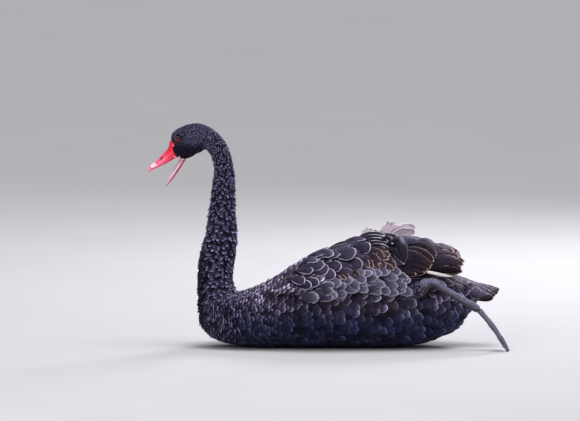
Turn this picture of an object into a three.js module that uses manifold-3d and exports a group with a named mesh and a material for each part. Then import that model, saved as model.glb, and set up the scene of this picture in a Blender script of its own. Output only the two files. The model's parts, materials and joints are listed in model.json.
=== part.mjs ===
// Black swan afloat, life size, as a still display model resting on its belly.
// Millimetres, +Z up, bill towards -X, the bird's left side towards -Y, floor at Z = 0.
import * as THREE from 'three';
import { mergeVertices } from 'three/addons/utils/BufferGeometryUtils.js';
import Module from 'manifold-3d';

const wasm = await Module();
wasm.setup();

// Driving dimensions
const gap = 0.35; // clearance between pieces that touch
const roundness = 2.25; // exponent of the body's cross-sections, 2 is an ellipse
const vaneThickness = 1.5;
const vaneEdge = 0.7;
const span = 1200; // larger than the bird every way

// Trunk from breast to rump: x, belly height, back height, half width, height of the widest line
const trunkRows = [
  [-251, 64, 97, 12, 80],
  [-246, 46, 101, 33, 78],
  [-236, 28, 105, 52, 76],
  [-219, 14, 108, 70, 75],
  [-193, 5, 110, 88, 77],
  [-157, -1, 114, 103, 82],
  [-110, -4, 133, 113, 90],
  [-50, -4, 170, 121, 99],
  [10, -4, 190, 124, 106],
  [80, -4, 196, 123, 110],
  [150, -3, 188, 115, 111],
  [210, 6, 170, 96, 109],
  [258, 30, 148, 68, 106],
  [288, 62, 137, 42, 106],
  [304, 84, 130, 18, 109],
];

// Head and neck from the bill's base to the breast: x, z, half depth, half width
const neckRows = [
  [-300, 393.5, 13, 9.5],
  [-296, 395.5, 18.6, 13.4],
  [-287, 400.5, 28, 18.2],
  [-280.5, 405.5, 30.5, 21.6],
  [-267, 414.5, 30.5, 23.8],
  [-251, 418.5, 30, 23.5],
  [-236, 418, 25.5, 21.5],
  [-221, 411, 21, 19.5],
  [-208.5, 394, 20.6, 18.8],
  [-201, 373, 20.4, 18.8],
  [-198, 350, 21.3, 19.5],
  [-198.5, 325, 23.4, 21.5],
  [-199.8, 293, 25.8, 24],
  [-202, 263, 29, 27],
  [-203.4, 233, 31.6, 30],
  [-206, 203, 34.3, 33],
  [-212, 173, 35.8, 36],
  [-215.5, 143, 35.2, 40],
  [-214, 115, 37.5, 46],
  [-206, 88, 42, 54],
  [-190, 62, 44, 60],
];

// Where thin cuts part the neck and the tail from the body
const neckNames = ['neck_base', 'neck_lower', 'neck_middle', 'neck_upper'];
const neckLevels = [0, 165, 245, 330, 500];
const napeCut = { x: -215, z: 403, normalDeg: 126 };
const neckFoot = [[-420, 72], [-166, 110.5], [-120, 600], [-420, 600]];
const tailCut = { x: 262, z: 110, normalDeg: 8 };

// Upper bill along its own axis: distance, culmen height, cutting edge height, half width
const upperBill = {
  base: [-297.6, 396.6],
  headingDeg: 217.7,
  hollow: 2.6,
  rows: [
    [-7, 15.5, -15, 12.4],
    [0, 13.5, -15.6, 13],
    [5, 10.4, -15.4, 13.2],
    [12, 8, -15, 13],
    [21, 6.7, -14.1, 12.6],
    [31, 5.4, -12.2, 12.2],
    [42, 3.6, -9.9, 12],
    [52, 2.9, -7.6, 11.8],
    [60, 2.5, -5.3, 10.6],
    [66, 1, -4.6, 8],
    [69.5, -0.9, -5.3, 4.8],
    [71.3, -4, -6.9, 2],
  ],
  nail: { along: 64.2, height: -1.3, size: [7.4, 5.4, 2.9], droopDeg: 24 },
  nostril: { along: 31.5, height: 1.6, side: 10.6, size: [3.4, 3, 1.3] },
};

// Opened lower bill: distance from the gape, rim height, keel height, half width
const lowerBill = {
  base: [-283, 372.5],
  headingDeg: 238.7,
  hollow: 1.8,
  rows: [
    [-6, 2, -5, 10.4],
    [3, 2.2, -4.4, 11],
    [13, 2, -3.9, 11],
    [25, 1.9, -3.4, 10.4],
    [38, 1.9, -2.8, 9.4],
    [48, 2.2, -1.9, 8],
    [55, 1.7, -1.2, 5.8],
    [59.8, 0.6, -0.9, 2],
  ],
};

// Tongue above the lower bill: distance, top height, underside height, half width
const tongueRows = [
  [-2, 4.6, 1.2, 5],
  [7, 5.4, 1.1, 7],
  [22, 5.6, 1, 7.4],
  [36, 5.3, 1.1, 6.8],
  [47, 5, 1.6, 5.4],
  [53, 3.4, 1.9, 2.6],
];

// Fold of bare skin at the corner of the mouth, down to the lower bill: x, y, z, radius
const gapeFold = [
  [-273, 12.5, 389, 2.6],
  [-279.5, 13.4, 380.5, 3],
  [-284.5, 12.8, 373.5, 2.8],
  [-289.5, 11, 365.5, 1.7],
];
const gapeSides = 6;

const eye = { centre: [-290.5, 14.2, 418.3], radius: 5.4 };
const lids = {
  radius: 4.9, stretch: 1.25, squash: 0.8, tiltDeg: 14, proud: 2.4,
  steps: 7, sides: 6, upperTube: 1.8, lowerTube: 1.4, cornerShare: 0.45, depthShare: 1.3,
};

// Folded wing's surface: x, top height, half width, lower edge height, inner edge from the middle
const wingRows = [
  [-120, 124, 114, 112, 92],
  [-100, 136, 119, 118, 80],
  [-80, 147, 123, 121, 68],
  [-43, 169, 128, 126, 51],
  [0, 190, 130, 142, 34],
  [40, 203, 130, 155, 18],
  [70, 211, 129, 164, 9],
  [100, 213, 126, 165, 5],
  [140, 211, 119, 162, 4],
  [180, 208, 108, 159, 4],
  [212, 201, 96, 158, 5],
  [240, 195, 84, 155, 6],
  [270, 184, 68, 150, 8],
  [290, 172, 56, 147, 10],
];
const wingAxis = 108; // height of the line where the wing's surface stands upright
const wingTurn = [0.02, 1.55]; // radians round that line within which the surface is used
const wingCore = { from: -118, to: 158, depth: 34, steps: 10, sides: 7 };

// Feathers of one wing in rows, front to back: place of the roots, shares of the way up the wing of
// the lowest and the highest, sizes, height of the tips, downward turn in degrees and arch
const wingFeathers = [
  { x: -97, count: 3, low: 0.18, high: 0.82, length: 38, width: 26, rise: 5.5, turn: 10 },
  { x: -70, count: 3, low: 0.13, high: 0.85, length: 40, width: 31, rise: 6, turn: 10 },
  { x: -45, count: 4, low: 0.1, high: 0.9, length: 44, width: 31, rise: 6.5, turn: 10 },
  { x: -17, count: 4, low: 0.08, high: 0.91, length: 50, width: 36, rise: 7, turn: 10 },
  { x: 14, count: 4, low: 0.09, high: 0.92, length: 55, width: 41, rise: 7.5, turn: 8 },
  { x: 48, count: 4, low: 0.06, high: 0.92, length: 58, width: 44, rise: 8, turn: 6 },
  { x: 83, count: 4, low: 0.06, high: 0.92, length: 62, width: 44, rise: 8, turn: 4 },
];

const featherBase = 0.6; // height of their roots over the wing

// Long feathers of the rear of the wing, from the uppermost tertials down to the white primaries
const longFeathers = [
  { x: 116, count: 4, low: 0.24, high: 0.92, length: 82, width: 40, base: 1, rise: 4, turn: 5, arch: 6 },
  { x: 140, count: 3, low: 0.3, high: 0.88, length: 92, width: 38, base: -3, rise: 0, turn: 7, arch: 5 },
  { x: 144, count: 4, low: 0.14, high: 0.88, length: 130, width: 30, base: -8, rise: -3, turn: 0, arch: 2 },
  { x: 146, count: 3, low: 0, high: 0.14, length: 131, width: 22, base: -12, rise: -9, turn: -1 },
];
const wingSeed = 41;
const wingVariety = { stagger: 0.2, shift: 2, size: 0.06, turn: 1.5 };

// Every vane: how deep its root sinks and over what share, how far its lower side rises over its
// neighbour, its camber, and its outline as shares of its length and width
const vaneSink = 3.5;
const sinkShare = 0.3;
const vaneRoll = 1.2;
const vaneCamber = 0.8;
const vaneOutline = { root: 0.5, fullAt: 0.45, taperFrom: 0.66, tip: 0.52, tipDraw: 0.22 };

// Loose curled feathers that stand up along the right wing's inner edge
const frills = [
  { x: 62, share: 0.82, length: 40, width: 26, rise: 13, turn: 4 },
  { x: 82, share: 0.92, length: 46, width: 30, rise: 17, turn: -3 },
  { x: 100, share: 0.8, length: 52, width: 36, rise: 24, turn: 4 },
  { x: 124, share: 0.93, length: 50, width: 34, rise: 19, turn: -2 },
  { x: 142, share: 0.82, length: 54, width: 36, rise: 18, turn: 3 },
];
const frillStand = 0.75; // sine of the lean of their faces

// Tail feathers fan out from one place: reach of root and tip, half spread, sizes and heights
const fan = { centre: [215, 124], drop: 0.0046 };
const tailSeed = 17;
const tailVariety = { length: 0.03, width: 0.05 };
const tailFeathers = [
  { count: 10, from: 64, to: 139, spreadDeg: 26, width: 22, base: -2, rise: -1, step: -1.8, round: 2 },
  { count: 5, from: 52, to: 106, spreadDeg: 27, width: 30, base: 4, rise: 6, step: -1, round: 1 },
  { count: 3, from: 38, to: 80, spreadDeg: 18, width: 32, base: 10, rise: 12, step: -1, round: 1 },
  { count: 5, from: 50, to: 108, spreadDeg: 24, width: 28, base: -15, rise: -14, step: 1.2, round: 2 },
];

// Legs: shanks and tarsi as x, y, z, half depth, half width; feet by their toe joint and heading
const leftLeg = {
  shank: [[118, -78, 92, 30, 20], [150, -92, 104, 25, 17], [184, -100, 120, 17, 12],
    [209, -103, 133, 10.5, 9]],
  tarsus: [[214, -103.5, 137, 9.5, 8.5], [223, -103.5, 136.5, 9, 7.6], [238, -102, 126, 7.4, 5.4],
    [262, -99, 111, 7.2, 5], [286, -96, 97, 7.4, 5.2], [302, -94, 87.5, 8.4, 7], [309, -93, 83, 7.4, 7.4]],
  foot: { joint: [311.5, -93, 81], headingDeg: 0, pitchDeg: -53, spreadDeg: 11 },
};
const rightLeg = {
  shank: [[120, 78, 92, 30, 20], [155, 92, 88, 25, 17], [190, 97, 80, 17, 12], [217, 98, 72, 10.5, 9]],
  tarsus: [[222, 98, 69, 9.5, 8.5], [224, 98, 61, 9, 7.6], [208, 98.5, 50, 7.4, 5.4],
    [184, 99, 39, 7.2, 5], [160, 99.5, 28, 7.4, 5.2], [145, 100, 17.8, 8.4, 7], [139, 100, 12.6, 7.4, 7.4]],
  foot: { joint: [136, 100, 7.9], headingDeg: 180, pitchDeg: -2, spreadDeg: 15 },
};
const shankSides = 10;
const tarsusSides = 10;
const toes = [
  { length: 98, place: -1, radius: 5.4 },
  { length: 104, place: 0, radius: 6 },
  { length: 82, place: 1, radius: 5.2 },
];
const hindToe = [[-2, 5, 0, 4, 4], [-12, 9, -1, 3.4, 3.2], [-20, 11, -4, 2.6, 2.4],
  [-25, 12, -6, 1, 1]];
const toeBulges = [[0, 1], [0.3, 0.82], [0.35, 1], [0.63, 0.74], [0.68, 0.88], [1, 0.24]];
const toeSides = 7;
const toeStep = 4; // between the roots of the toes
const toeArch = 3.2;
const web = { thickness: 2.6, stations: [0.05, 0.3, 0.55, 0.84], sag: 0.88, drop: 1 };

const radians = THREE.MathUtils.degToRad;
const lerp = THREE.MathUtils.lerp;
const power = (value, exponent) => Math.sign(value) * Math.abs(value) ** exponent;

// Smooth curve through the rows of a table, whose first column is the place
function throughRows(rows) {
  const slope = (i, c) => {
    const before = rows[Math.max(i - 1, 0)];
    const after = rows[Math.min(i + 1, rows.length - 1)];
    return (after[c] - before[c]) / (after[0] - before[0]);
  };
  return (place) => {
    const x = THREE.MathUtils.clamp(place, rows[0][0], rows.at(-1)[0]);
    const i = Math.min(rows.findLastIndex((row) => row[0] <= x), rows.length - 2);
    const width = rows[i + 1][0] - rows[i][0];
    const t = (x - rows[i][0]) / width;
    return rows[0].map((unused, c) => {
      const rise = rows[i + 1][c] - rows[i][c];
      const a = slope(i, c) * width;
      const b = slope(i + 1, c) * width;
      return rows[i][c] + t * (a + t * (3 * rise - 2 * a - b + t * (a + b - 2 * rise)));
    });
  };
}

// Places from the first to the last row, with more between rows that stand further apart
function placesAlong(rows, longestStep) {
  const places = [];
  for (let i = 0; i < rows.length - 1; i++) {
    const steps = Math.ceil((rows[i + 1][0] - rows[i][0]) / longestStep);
    for (let k = 0; k < steps; k++) places.push(lerp(rows[i][0], rows[i + 1][0], k / steps));
  }
  places.push(rows.at(-1)[0]);
  return places;
}

function indexed(points, faces) {
  const geometry = new THREE.BufferGeometry().setFromPoints(points);
  geometry.setIndex(faces);
  return geometry;
}

// Closed skin over rings that all have the same number of points
function loft(rings) {
  const sides = rings[0].length;
  const middle = (ring) => ring
    .reduce((sum, point) => sum.add(point), new THREE.Vector3())
    .divideScalar(sides);
  const points = [...rings.flat(), middle(rings[0]), middle(rings.at(-1))];
  const first = rings.length * sides;
  const last = first + 1;
  const end = first - sides;
  const faces = [];
  for (let s = 0; s < sides; s++) {
    const next = (s + 1) % sides;
    faces.push(first, next, s, last, end + s, end + next);
    for (let a = 0; a < end; a += sides) {
      faces.push(a + s, a + next, a + sides + next, a + s, a + sides + next, a + sides + s);
    }
  }
  return indexed(points, faces);
}

// Thin plate between two like grids of points, split into triangles alike on both faces
function plate(top, bottom) {
  const rows = top.length;
  const columns = top[0].length;
  const below = rows * columns;
  const faces = [];
  for (let r = 0; r < rows - 1; r++) {
    for (let c = 0; c < columns - 1; c++) {
      const a = r * columns + c;
      const b = a + 1;
      const d = a + columns;
      const e = d + 1;
      faces.push(a, d, e, a, e, b);
      faces.push(below + a, below + e, below + d, below + a, below + b, below + e);
    }
  }
  const rim = [];
  for (let c = 0; c < columns - 1; c++) rim.push(c);
  for (let r = 0; r < rows - 1; r++) rim.push(r * columns + columns - 1);
  for (let c = columns - 1; c > 0; c--) rim.push((rows - 1) * columns + c);
  for (let r = rows - 1; r > 0; r--) rim.push(r * columns);
  rim.forEach((a, k) => {
    const b = rim[(k + 1) % rim.length];
    faces.push(a, b, below + b, a, below + b, below + a);
  });
  return indexed([...top.flat(), ...bottom.flat()], faces);
}

// Geometry as a solid for joining and cutting, turned right side out
function solid(geometry) {
  const bare = geometry.clone();
  bare.deleteAttribute('normal');
  bare.deleteAttribute('uv');
  const merged = mergeVertices(bare, 1e-4);
  const vertProperties = new Float32Array(merged.attributes.position.array);
  const triVerts = new Uint32Array(merged.index.array);
  const made = new wasm.Manifold(new wasm.Mesh({ numProp: 3, vertProperties, triVerts }));
  if (made.volume() >= 0) return made;
  for (let i = 0; i < triVerts.length; i += 3) {
    [triVerts[i + 1], triVerts[i + 2]] = [triVerts[i + 2], triVerts[i + 1]];
  }
  return new wasm.Manifold(new wasm.Mesh({ numProp: 3, vertProperties, triVerts }));
}

const joined = (solids) => solids.reduce((sum, piece) => sum.add(piece));

// The largest closed surface of a solid, which drops loose scraps
function largest(made) {
  return made.decompose().reduce((best, body) => (body.volume() > best.volume() ? body : best));
}

// Everything beyond a plane across the bird, at a distance from it
function beyond({ x, z, normalDeg }, distance) {
  const box = new THREE.BoxGeometry(span, span, span);
  box.translate(0, 0, span / 2 + distance);
  box.rotateY(radians(90 - normalDeg));
  box.translate(x, 0, z);
  return solid(box);
}

const opposite = ({ x, z, normalDeg }) => ({ x, z, normalDeg: normalDeg + 180 });
const upward = (z) => ({ x: 0, z, normalDeg: 90 });

// Outline in the X-Z plane, carried through the whole width of the bird
function throughWidth(outline, shift) {
  const shape = new THREE.Shape(outline.map(([x, z]) => new THREE.Vector2(x + shift, z - shift)));
  const geometry = new THREE.ExtrudeGeometry(shape, { depth: span, bevelEnabled: false });
  geometry.rotateX(Math.PI / 2);
  geometry.translate(0, span / 2, 0);
  return solid(geometry);
}

const aboveFloor = beyond(upward(0), 0);

// Trunk, grown outwards by some margin
const trunkSides = 24;
const trunkStep = 36;
const trunkAt = throughRows(trunkRows);
function trunkRing(x, grow) {
  const [, belly, back, half, widest] = trunkAt(x);
  const ring = [];
  for (let k = 0; k < trunkSides; k++) {
    const angle = ((k + 0.5) / trunkSides) * 2 * Math.PI;
    const side = power(Math.cos(angle), 2 / roundness) * (half + grow);
    const rise = power(Math.sin(angle), 2 / roundness);
    const reach = (rise > 0 ? back - widest : widest - belly) + grow;
    ring.push(new THREE.Vector3(x, side, widest + rise * reach));
  }
  return ring;
}

function trunkSolid(grow) {
  const rings = placesAlong(trunkRows, trunkStep).map((x) => trunkRing(x, grow));
  rings[0].forEach((point) => point.setX(point.x - grow));
  rings.at(-1).forEach((point) => point.setX(point.x + grow));
  return solid(loft(rings));
}

// Round limb through stations of x, y, z, half depth and half width, its width lying across. Only the
// first rows, where it bends most, get the extra steps
function limb(rows, sides, steps, grow = 0, fineRows = rows.length) {
  const line = new THREE.CatmullRomCurve3(rows.map(([x, y, z]) => new THREE.Vector3(x, y, z)));
  const sizes = new THREE.CatmullRomCurve3(rows.map((row) => new THREE.Vector3(row[3], row[4], 0)));
  const count = (rows.length - 1) * steps;
  const rings = [];
  for (let i = 0; i <= count; i++) {
    if (i > fineRows * steps && i % steps) continue;
    const centre = line.getPoint(i / count);
    const forward = line.getTangent(i / count);
    const { x: depth, y: width } = sizes.getPoint(i / count);
    const across = new THREE.Vector3(0, 1, 0).addScaledVector(forward, -forward.y).normalize();
    const up = new THREE.Vector3().crossVectors(across, forward);
    const ring = [];
    for (let k = 0; k < sides; k++) {
      const angle = (k / sides) * 2 * Math.PI;
      ring.push(centre.clone()
        .addScaledVector(up, Math.cos(angle) * (depth + grow))
        .addScaledVector(across, Math.sin(angle) * (width + grow)));
    }
    rings.push(ring);
  }
  return loft(rings);
}

// Flesh of trunk, neck and head in one, which thin cuts part
const neckLine = neckRows.map(([x, z, depth, width]) => [x, 0, z, depth, width]);
const headRows = 10;
const neckSides = 20;
const neckSolid = (grow) => solid(limb(neckLine, neckSides, 2, grow, headRows));
const trunkGrown = trunkSolid(gap);
const headGrown = neckSolid(gap);
const flesh = trunkSolid(0).add(neckSolid(0)).intersect(aboveFloor);
const neckFlesh = flesh.intersect(throughWidth(neckFoot, 0));
const torso = largest(flesh
  .subtract(throughWidth(neckFoot, gap))
  .intersect(beyond(opposite(tailCut), gap / 2)));

function neckLength(low, high) {
  return largest(neckFlesh
    .intersect(beyond(upward(low), gap / 2))
    .intersect(beyond(opposite(upward(high)), gap / 2))
    .intersect(beyond(opposite(napeCut), gap / 2)));
}

const mirrored = ([x, y, z], side) => [x, y * side, z];

const ballSides = 12;
const ballRings = 8;
function ball([x, y, z], sizes, turnDeg = 0) {
  const geometry = new THREE.SphereGeometry(1, ballSides, ballRings);
  geometry.scale(...sizes);
  geometry.rotateY(radians(turnDeg));
  geometry.translate(x, y, z);
  return geometry;
}

// One lid: a ridge bowed over (1) or under (-1) the eye, thickest in its middle
function lid(side, tube, bow) {
  const tilt = radians(lids.tiltDeg);
  const rings = [];
  for (let i = 0; i <= lids.steps; i++) {
    const angle = (i / lids.steps) * Math.PI;
    const along = -Math.cos(angle) * lids.radius * lids.stretch;
    const rise = bow * Math.sin(angle) * lids.radius * lids.squash;
    const size = tube * lerp(lids.cornerShare, 1, Math.sin(angle));
    const centre = new THREE.Vector3(...mirrored(eye.centre, side)).add(new THREE.Vector3(
      along * Math.cos(tilt) - rise * Math.sin(tilt),
      side * lids.proud,
      along * Math.sin(tilt) + rise * Math.cos(tilt),
    ));
    const outward = new THREE.Vector3(-Math.cos(angle), 0, bow * Math.sin(angle));
    outward.applyAxisAngle(new THREE.Vector3(0, 1, 0), -tilt);
    rings.push(Array.from({ length: lids.sides }, (unused, k) => {
      const turn = (k / lids.sides) * 2 * Math.PI;
      return centre.clone()
        .addScaledVector(outward, Math.cos(turn) * size)
        .add(new THREE.Vector3(0, Math.sin(turn) * size * lids.depthShare, 0));
    }));
  }
  return solid(loft(rings));
}

// Point of a bill: along its axis, across and up from it
function billPoint(bill, along, across, height) {
  const heading = radians(bill.headingDeg);
  const x = bill.base[0] + along * Math.cos(heading) + height * Math.sin(heading);
  const z = bill.base[1] + along * Math.sin(heading) - height * Math.cos(heading);
  return new THREE.Vector3(x, across, z);
}

// Bill half: an arched outer side from edge to edge, and a hollowed inner face
const archSteps = 8;
const archPower = 0.8;
const billStep = 8;
const billHalf = 13;
const hollowPlaces = [-0.55, 0, 0.55];
function billSolid(bill, isUpper, grow) {
  const at = throughRows(bill.rows);
  const rings = placesAlong(bill.rows, billStep).map((along) => {
    const [, top, under, half] = at(along);
    const away = isUpper ? 1 : -1;
    const outer = (isUpper ? top : under) + away * grow;
    const edge = (isUpper ? under : top) - away * grow;
    const ring = [];
    for (let k = 0; k <= archSteps; k++) {
      const angle = (k / archSteps) * Math.PI;
      const rise = power(Math.sin(angle), archPower);
      ring.push(billPoint(bill, along, Math.cos(angle) * (half + grow), lerp(edge, outer, rise)));
    }
    for (const across of hollowPlaces) {
      const depth = bill.hollow * (1 - across * across) * away * (half / billHalf);
      ring.push(billPoint(bill, along, across * half, edge + depth));
    }
    return ring;
  });
  return solid(loft(rings));
}

function upperBillSolid() {
  const { nail, nostril } = upperBill;
  const horn = billSolid(upperBill, true, 0);
  const turn = -upperBill.headingDeg;
  const tip = billPoint(upperBill, nail.along, 0, nail.height);
  let made = horn.add(solid(ball(tip.toArray(), nail.size, turn - nail.droopDeg)));
  for (const side of [-1, 1]) {
    const place = billPoint(upperBill, nostril.along, side * nostril.side, nostril.height);
    made = made.subtract(solid(ball(place.toArray(), nostril.size, turn)));
  }
  return largest(made.subtract(headGrown));
}

const lowerBillSolid = () => largest(billSolid(lowerBill, false, 0).subtract(headGrown));

const tongueSides = 8;
function tongueSolid() {
  const at = throughRows(tongueRows);
  const rings = placesAlong(tongueRows, billStep).map((along) => {
    const [, top, under, half] = at(along);
    const ring = [];
    for (let k = 0; k < tongueSides; k++) {
      const angle = (k / tongueSides) * 2 * Math.PI;
      const height = lerp(under, top, (1 + Math.sin(angle)) / 2);
      ring.push(billPoint(lowerBill, along, Math.cos(angle) * half, height));
    }
    return ring;
  });
  return largest(solid(loft(rings)).subtract(headGrown));
}

const eyeBall = (side, grow) => {
  const size = eye.radius + grow;
  return solid(ball(mirrored(eye.centre, side), [size, size, size]));
};

function headSolid() {
  let made = neckFlesh.intersect(beyond(napeCut, gap / 2));
  for (const side of [-1, 1]) {
    const fold = gapeFold.map(([x, y, z, size]) => [x, y * side, z, size, size]);
    made = made
      .add(solid(limb(fold, gapeSides, 1))
        .subtract(billSolid(upperBill, true, gap))
        .subtract(billSolid(lowerBill, false, gap)))
      .add(lid(side, lids.upperTube, 1))
      .add(lid(side, lids.lowerTube, -1))
      .subtract(eyeBall(side, gap));
  }
  return largest(made);
}

// Point above the folded wing's surface: x, share of the way up from its lower to its inner edge
const wingAt = throughRows(wingRows);
function wingPoint(side, x, share, lift) {
  const [, top, half, low, inner] = wingAt(x);
  const height = top - wingAxis;
  const lowAngle = Math.asin(((low - wingAxis) / height) ** (roundness / 2));
  const highAngle = Math.acos((inner / half) ** (roundness / 2));
  const angle = THREE.MathUtils.clamp(lerp(lowAngle, highAngle, share), ...wingTurn);
  const out = power(Math.cos(angle), 2 / roundness);
  const rise = power(Math.sin(angle), 2 / roundness);
  const normal = new THREE.Vector2(out ** (roundness - 1) / half, rise ** (roundness - 1) / height);
  normal.setLength(lift);
  return new THREE.Vector3(x, side * (half * out + normal.x), wingAxis + height * rise + normal.y);
}

// Share of the full width that a vane has at some share of its length
function vaneShape(t) {
  const { root, fullAt, taperFrom, tip } = vaneOutline;
  const widening = lerp(root, 1, Math.sin(Math.min(t / fullAt, 1) * Math.PI / 2));
  return widening * lerp(1, tip, Math.max(0, (t - taperFrom) / (1 - taperFrom)) ** 2);
}

// One feather: a thin curved plate that tapers to its edges and tip. The host gives the point at a
// distance along the feather, a distance across it, and a height above what it grows from
const shortStations = [0, 0.36, 0.76, 1];
const longStations = [0, 0.27, 0.55, 0.82, 1];
function vane(host, { length, width, base, rise, arch = 0, roll = vaneRoll, stand = 0 }) {
  const stations = length > 2 * width ? longStations : shortStations;
  const lean = Math.sqrt(1 - stand * stand);
  const grid = (face) => stations.map((t) => [-1, 0, 1].map((c) => {
    const half = width / 2 * vaneShape(t);
    const along = length * t - Math.abs(c) * width * vaneOutline.tipDraw * t ** 4;
    const thick = lerp(vaneThickness, vaneEdge, Math.max(Math.abs(c), t ** 3));
    const height = lerp(base, rise, t) - vaneSink * Math.max(0, 1 - t / sinkShare) ** 2
      + arch * Math.sin(Math.PI * t) + vaneCamber * (1 - c * c)
      - roll * c * Math.min(1, 2 * t) + stand * (1 - c) * half;
    return host(along, c * half * lean + face * stand * thick / 2, height + face * lean * thick / 2);
  }));
  return solid(plate(grid(1), grid(-1)));
}

// A seeded random amount, up or down
const either = (amount) => amount * (THREE.MathUtils.seededRandom() * 2 - 1);

// Length of the wing's surface from its lower to its inner edge at some x
function wingGirth(side, x) {
  const points = [0, 0.2, 0.4, 0.6, 0.8, 1].map((share) => wingPoint(side, x, share, 0));
  return points.slice(1).reduce((sum, point, i) => sum + point.distanceTo(points[i]), 0);
}

function wingVane(side, { x, share, turn, ...sizes }) {
  const heading = radians(turn);
  const host = (along, across, height) => {
    const placeX = x + along * Math.cos(heading) + across * Math.sin(heading);
    const down = along * Math.sin(heading) - across * Math.cos(heading);
    return wingPoint(side, placeX, share - down / wingGirth(side, placeX), height);
  };
  return vane(host, sizes);
}

function wingVanes(side) {
  const made = [];
  [...wingFeathers, ...longFeathers].forEach((row, r) => {
    const step = (row.high - row.low) / (row.count - 1);
    const stagger = (r % 2 ? 1 : -1) * wingVariety.stagger * step;
    for (let k = 0; k < row.count; k++) {
      made.push(wingVane(side, {
        base: featherBase,
        ...row,
        x: row.x + either(wingVariety.shift),
        share: row.low + k * step + stagger,
        length: row.length * (1 + either(wingVariety.size)),
        width: row.width * (1 + either(wingVariety.size)),
        turn: row.turn + either(wingVariety.turn),
      }));
    }
  });
  return made;
}

// Folded arm under the feathers, hollowed to the body below it
function wingCoreSolid(side) {
  const rings = [];
  for (let i = 0; i <= wingCore.steps; i++) {
    const x = lerp(wingCore.from, wingCore.to, i / wingCore.steps);
    const ring = [];
    for (let k = 0; k < wingCore.sides; k++) {
      ring.push(wingPoint(side, x, k / (wingCore.sides - 1), 0));
    }
    for (let k = wingCore.sides - 1; k >= 0; k--) {
      ring.push(wingPoint(side, x, k / (wingCore.sides - 1), -wingCore.depth));
    }
    rings.push(ring);
  }
  return solid(loft(rings));
}

function wingSolid(side) {
  THREE.MathUtils.seededRandom(wingSeed);
  const pieces = [wingCoreSolid(side), ...wingVanes(side)];
  if (side > 0) {
    frills.forEach((frill) => pieces.push(wingVane(side, { base: 0, ...frill, stand: frillStand })));
  }
  const ownSide = new THREE.BoxGeometry(span, span, span);
  ownSide.translate(0, side * (span + gap) / 2, 0);
  return largest(joined(pieces).intersect(solid(ownSide)).subtract(trunkGrown));
}

// Point of the tail's fan: reach from its centre, angle, height above its roof-like surface
function fanPoint(reach, angle, height) {
  const y = reach * Math.sin(angle);
  const x = fan.centre[0] + reach * Math.cos(angle);
  return new THREE.Vector3(x, y, fan.centre[1] - fan.drop * y * y + height);
}

function tailVanes() {
  const made = [];
  for (const row of tailFeathers) {
    for (let k = 0; k < row.count; k++) {
      const place = k - (row.count - 1) / 2;
      const angle = radians((place / (row.count - 1)) * 2 * row.spreadDeg);
      const lower = Math.abs(place) * row.step;
      const host = (along, across, height) => (
        fanPoint(row.from + along, angle + across / (row.from + along), height + lower)
      );
      made.push(vane(host, {
        ...row,
        length: (row.to - row.from - Math.abs(place) * row.round) * (1 + either(tailVariety.length)),
        width: row.width * (1 + either(tailVariety.width)),
        roll: vaneRoll * Math.sign(place * row.step),
      }));
    }
  }
  return made;
}

function tailSolid() {
  THREE.MathUtils.seededRandom(tailSeed);
  const rump = trunkSolid(0).intersect(beyond(tailCut, gap / 2));
  const feathers = joined(tailVanes()).intersect(beyond(tailCut, gap / 2));
  return largest(rump.add(feathers));
}

const shankLimb = ({ shank }, grow) => solid(limb(shank, shankSides, 3, grow));
const tarsusLimb = ({ tarsus }, grow) => solid(limb(tarsus, tarsusSides, 2, grow));
const shankSolid = (leg) => largest(shankLimb(leg, 0).subtract(trunkGrown));
const tarsusSolid = (leg) => largest(tarsusLimb(leg, 0).subtract(shankLimb(leg, gap)));

// Foot in its own frame, toes towards +X and sole down, then turned to its pose
function footSolid({ foot }) {
  const pieces = [];
  const turn = new THREE.Euler(0, radians(-foot.pitchDeg), radians(foot.headingDeg), 'ZYX');
  const pose = new THREE.Matrix4().makeRotationFromEuler(turn).setPosition(...foot.joint);
  const place = (geometry) => pieces.push(solid(geometry.applyMatrix4(pose)));
  const lines = toes.map(({ length, place: rank }) => {
    const heading = radians(rank * foot.spreadDeg);
    return (along) => new THREE.Vector3(
      along * length * Math.cos(heading),
      along * length * Math.sin(heading) + rank * toeStep,
      toeArch * (Math.sin(along * Math.PI) - along),
    );
  });
  toes.forEach(({ radius }, i) => {
    const rows = toeBulges.map(([along, bulge]) => {
      const { x, y, z } = lines[i](along);
      return [x, y, z, radius * bulge, radius * bulge];
    });
    place(limb(rows, toeSides, 1));
  });
  for (const i of [0, 1]) {
    const grid = (lift) => web.stations.map((along) => [0, 0.5, 1].map((across) => {
      const point = lines[i](along).lerp(lines[i + 1](along), across);
      const hem = along === web.stations.at(-1) && across === 0.5;
      return new THREE.Vector3(point.x * (hem ? web.sag : 1), point.y, point.z + lift - web.drop);
    }));
    place(plate(grid(web.thickness / 2), grid(-web.thickness / 2)));
  }
  place(limb(hindToe, toeSides, 1));
  return joined(pieces);
}

function placedFoot(leg) {
  return largest(footSolid(leg)
    .subtract(tarsusLimb(leg, gap))
    .subtract(trunkGrown)
    .intersect(aboveFloor));
}

const materials = {
  body: { color: 0x2f2b31, roughness: 0.75, metalness: 0 },
  neck: { color: 0x23202a, roughness: 0.7, metalness: 0 },
  wing: { color: 0x39343a, roughness: 0.75, metalness: 0 },
  bill: { color: 0xe8304e, roughness: 0.3, metalness: 0 },
  tongue: { color: 0xf0b6c0, roughness: 0.4, metalness: 0 },
  eye: { color: 0x4a0d10, roughness: 0.1, metalness: 0 },
  leg: { color: 0x3c3a40, roughness: 0.6, metalness: 0 },
};

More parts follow.
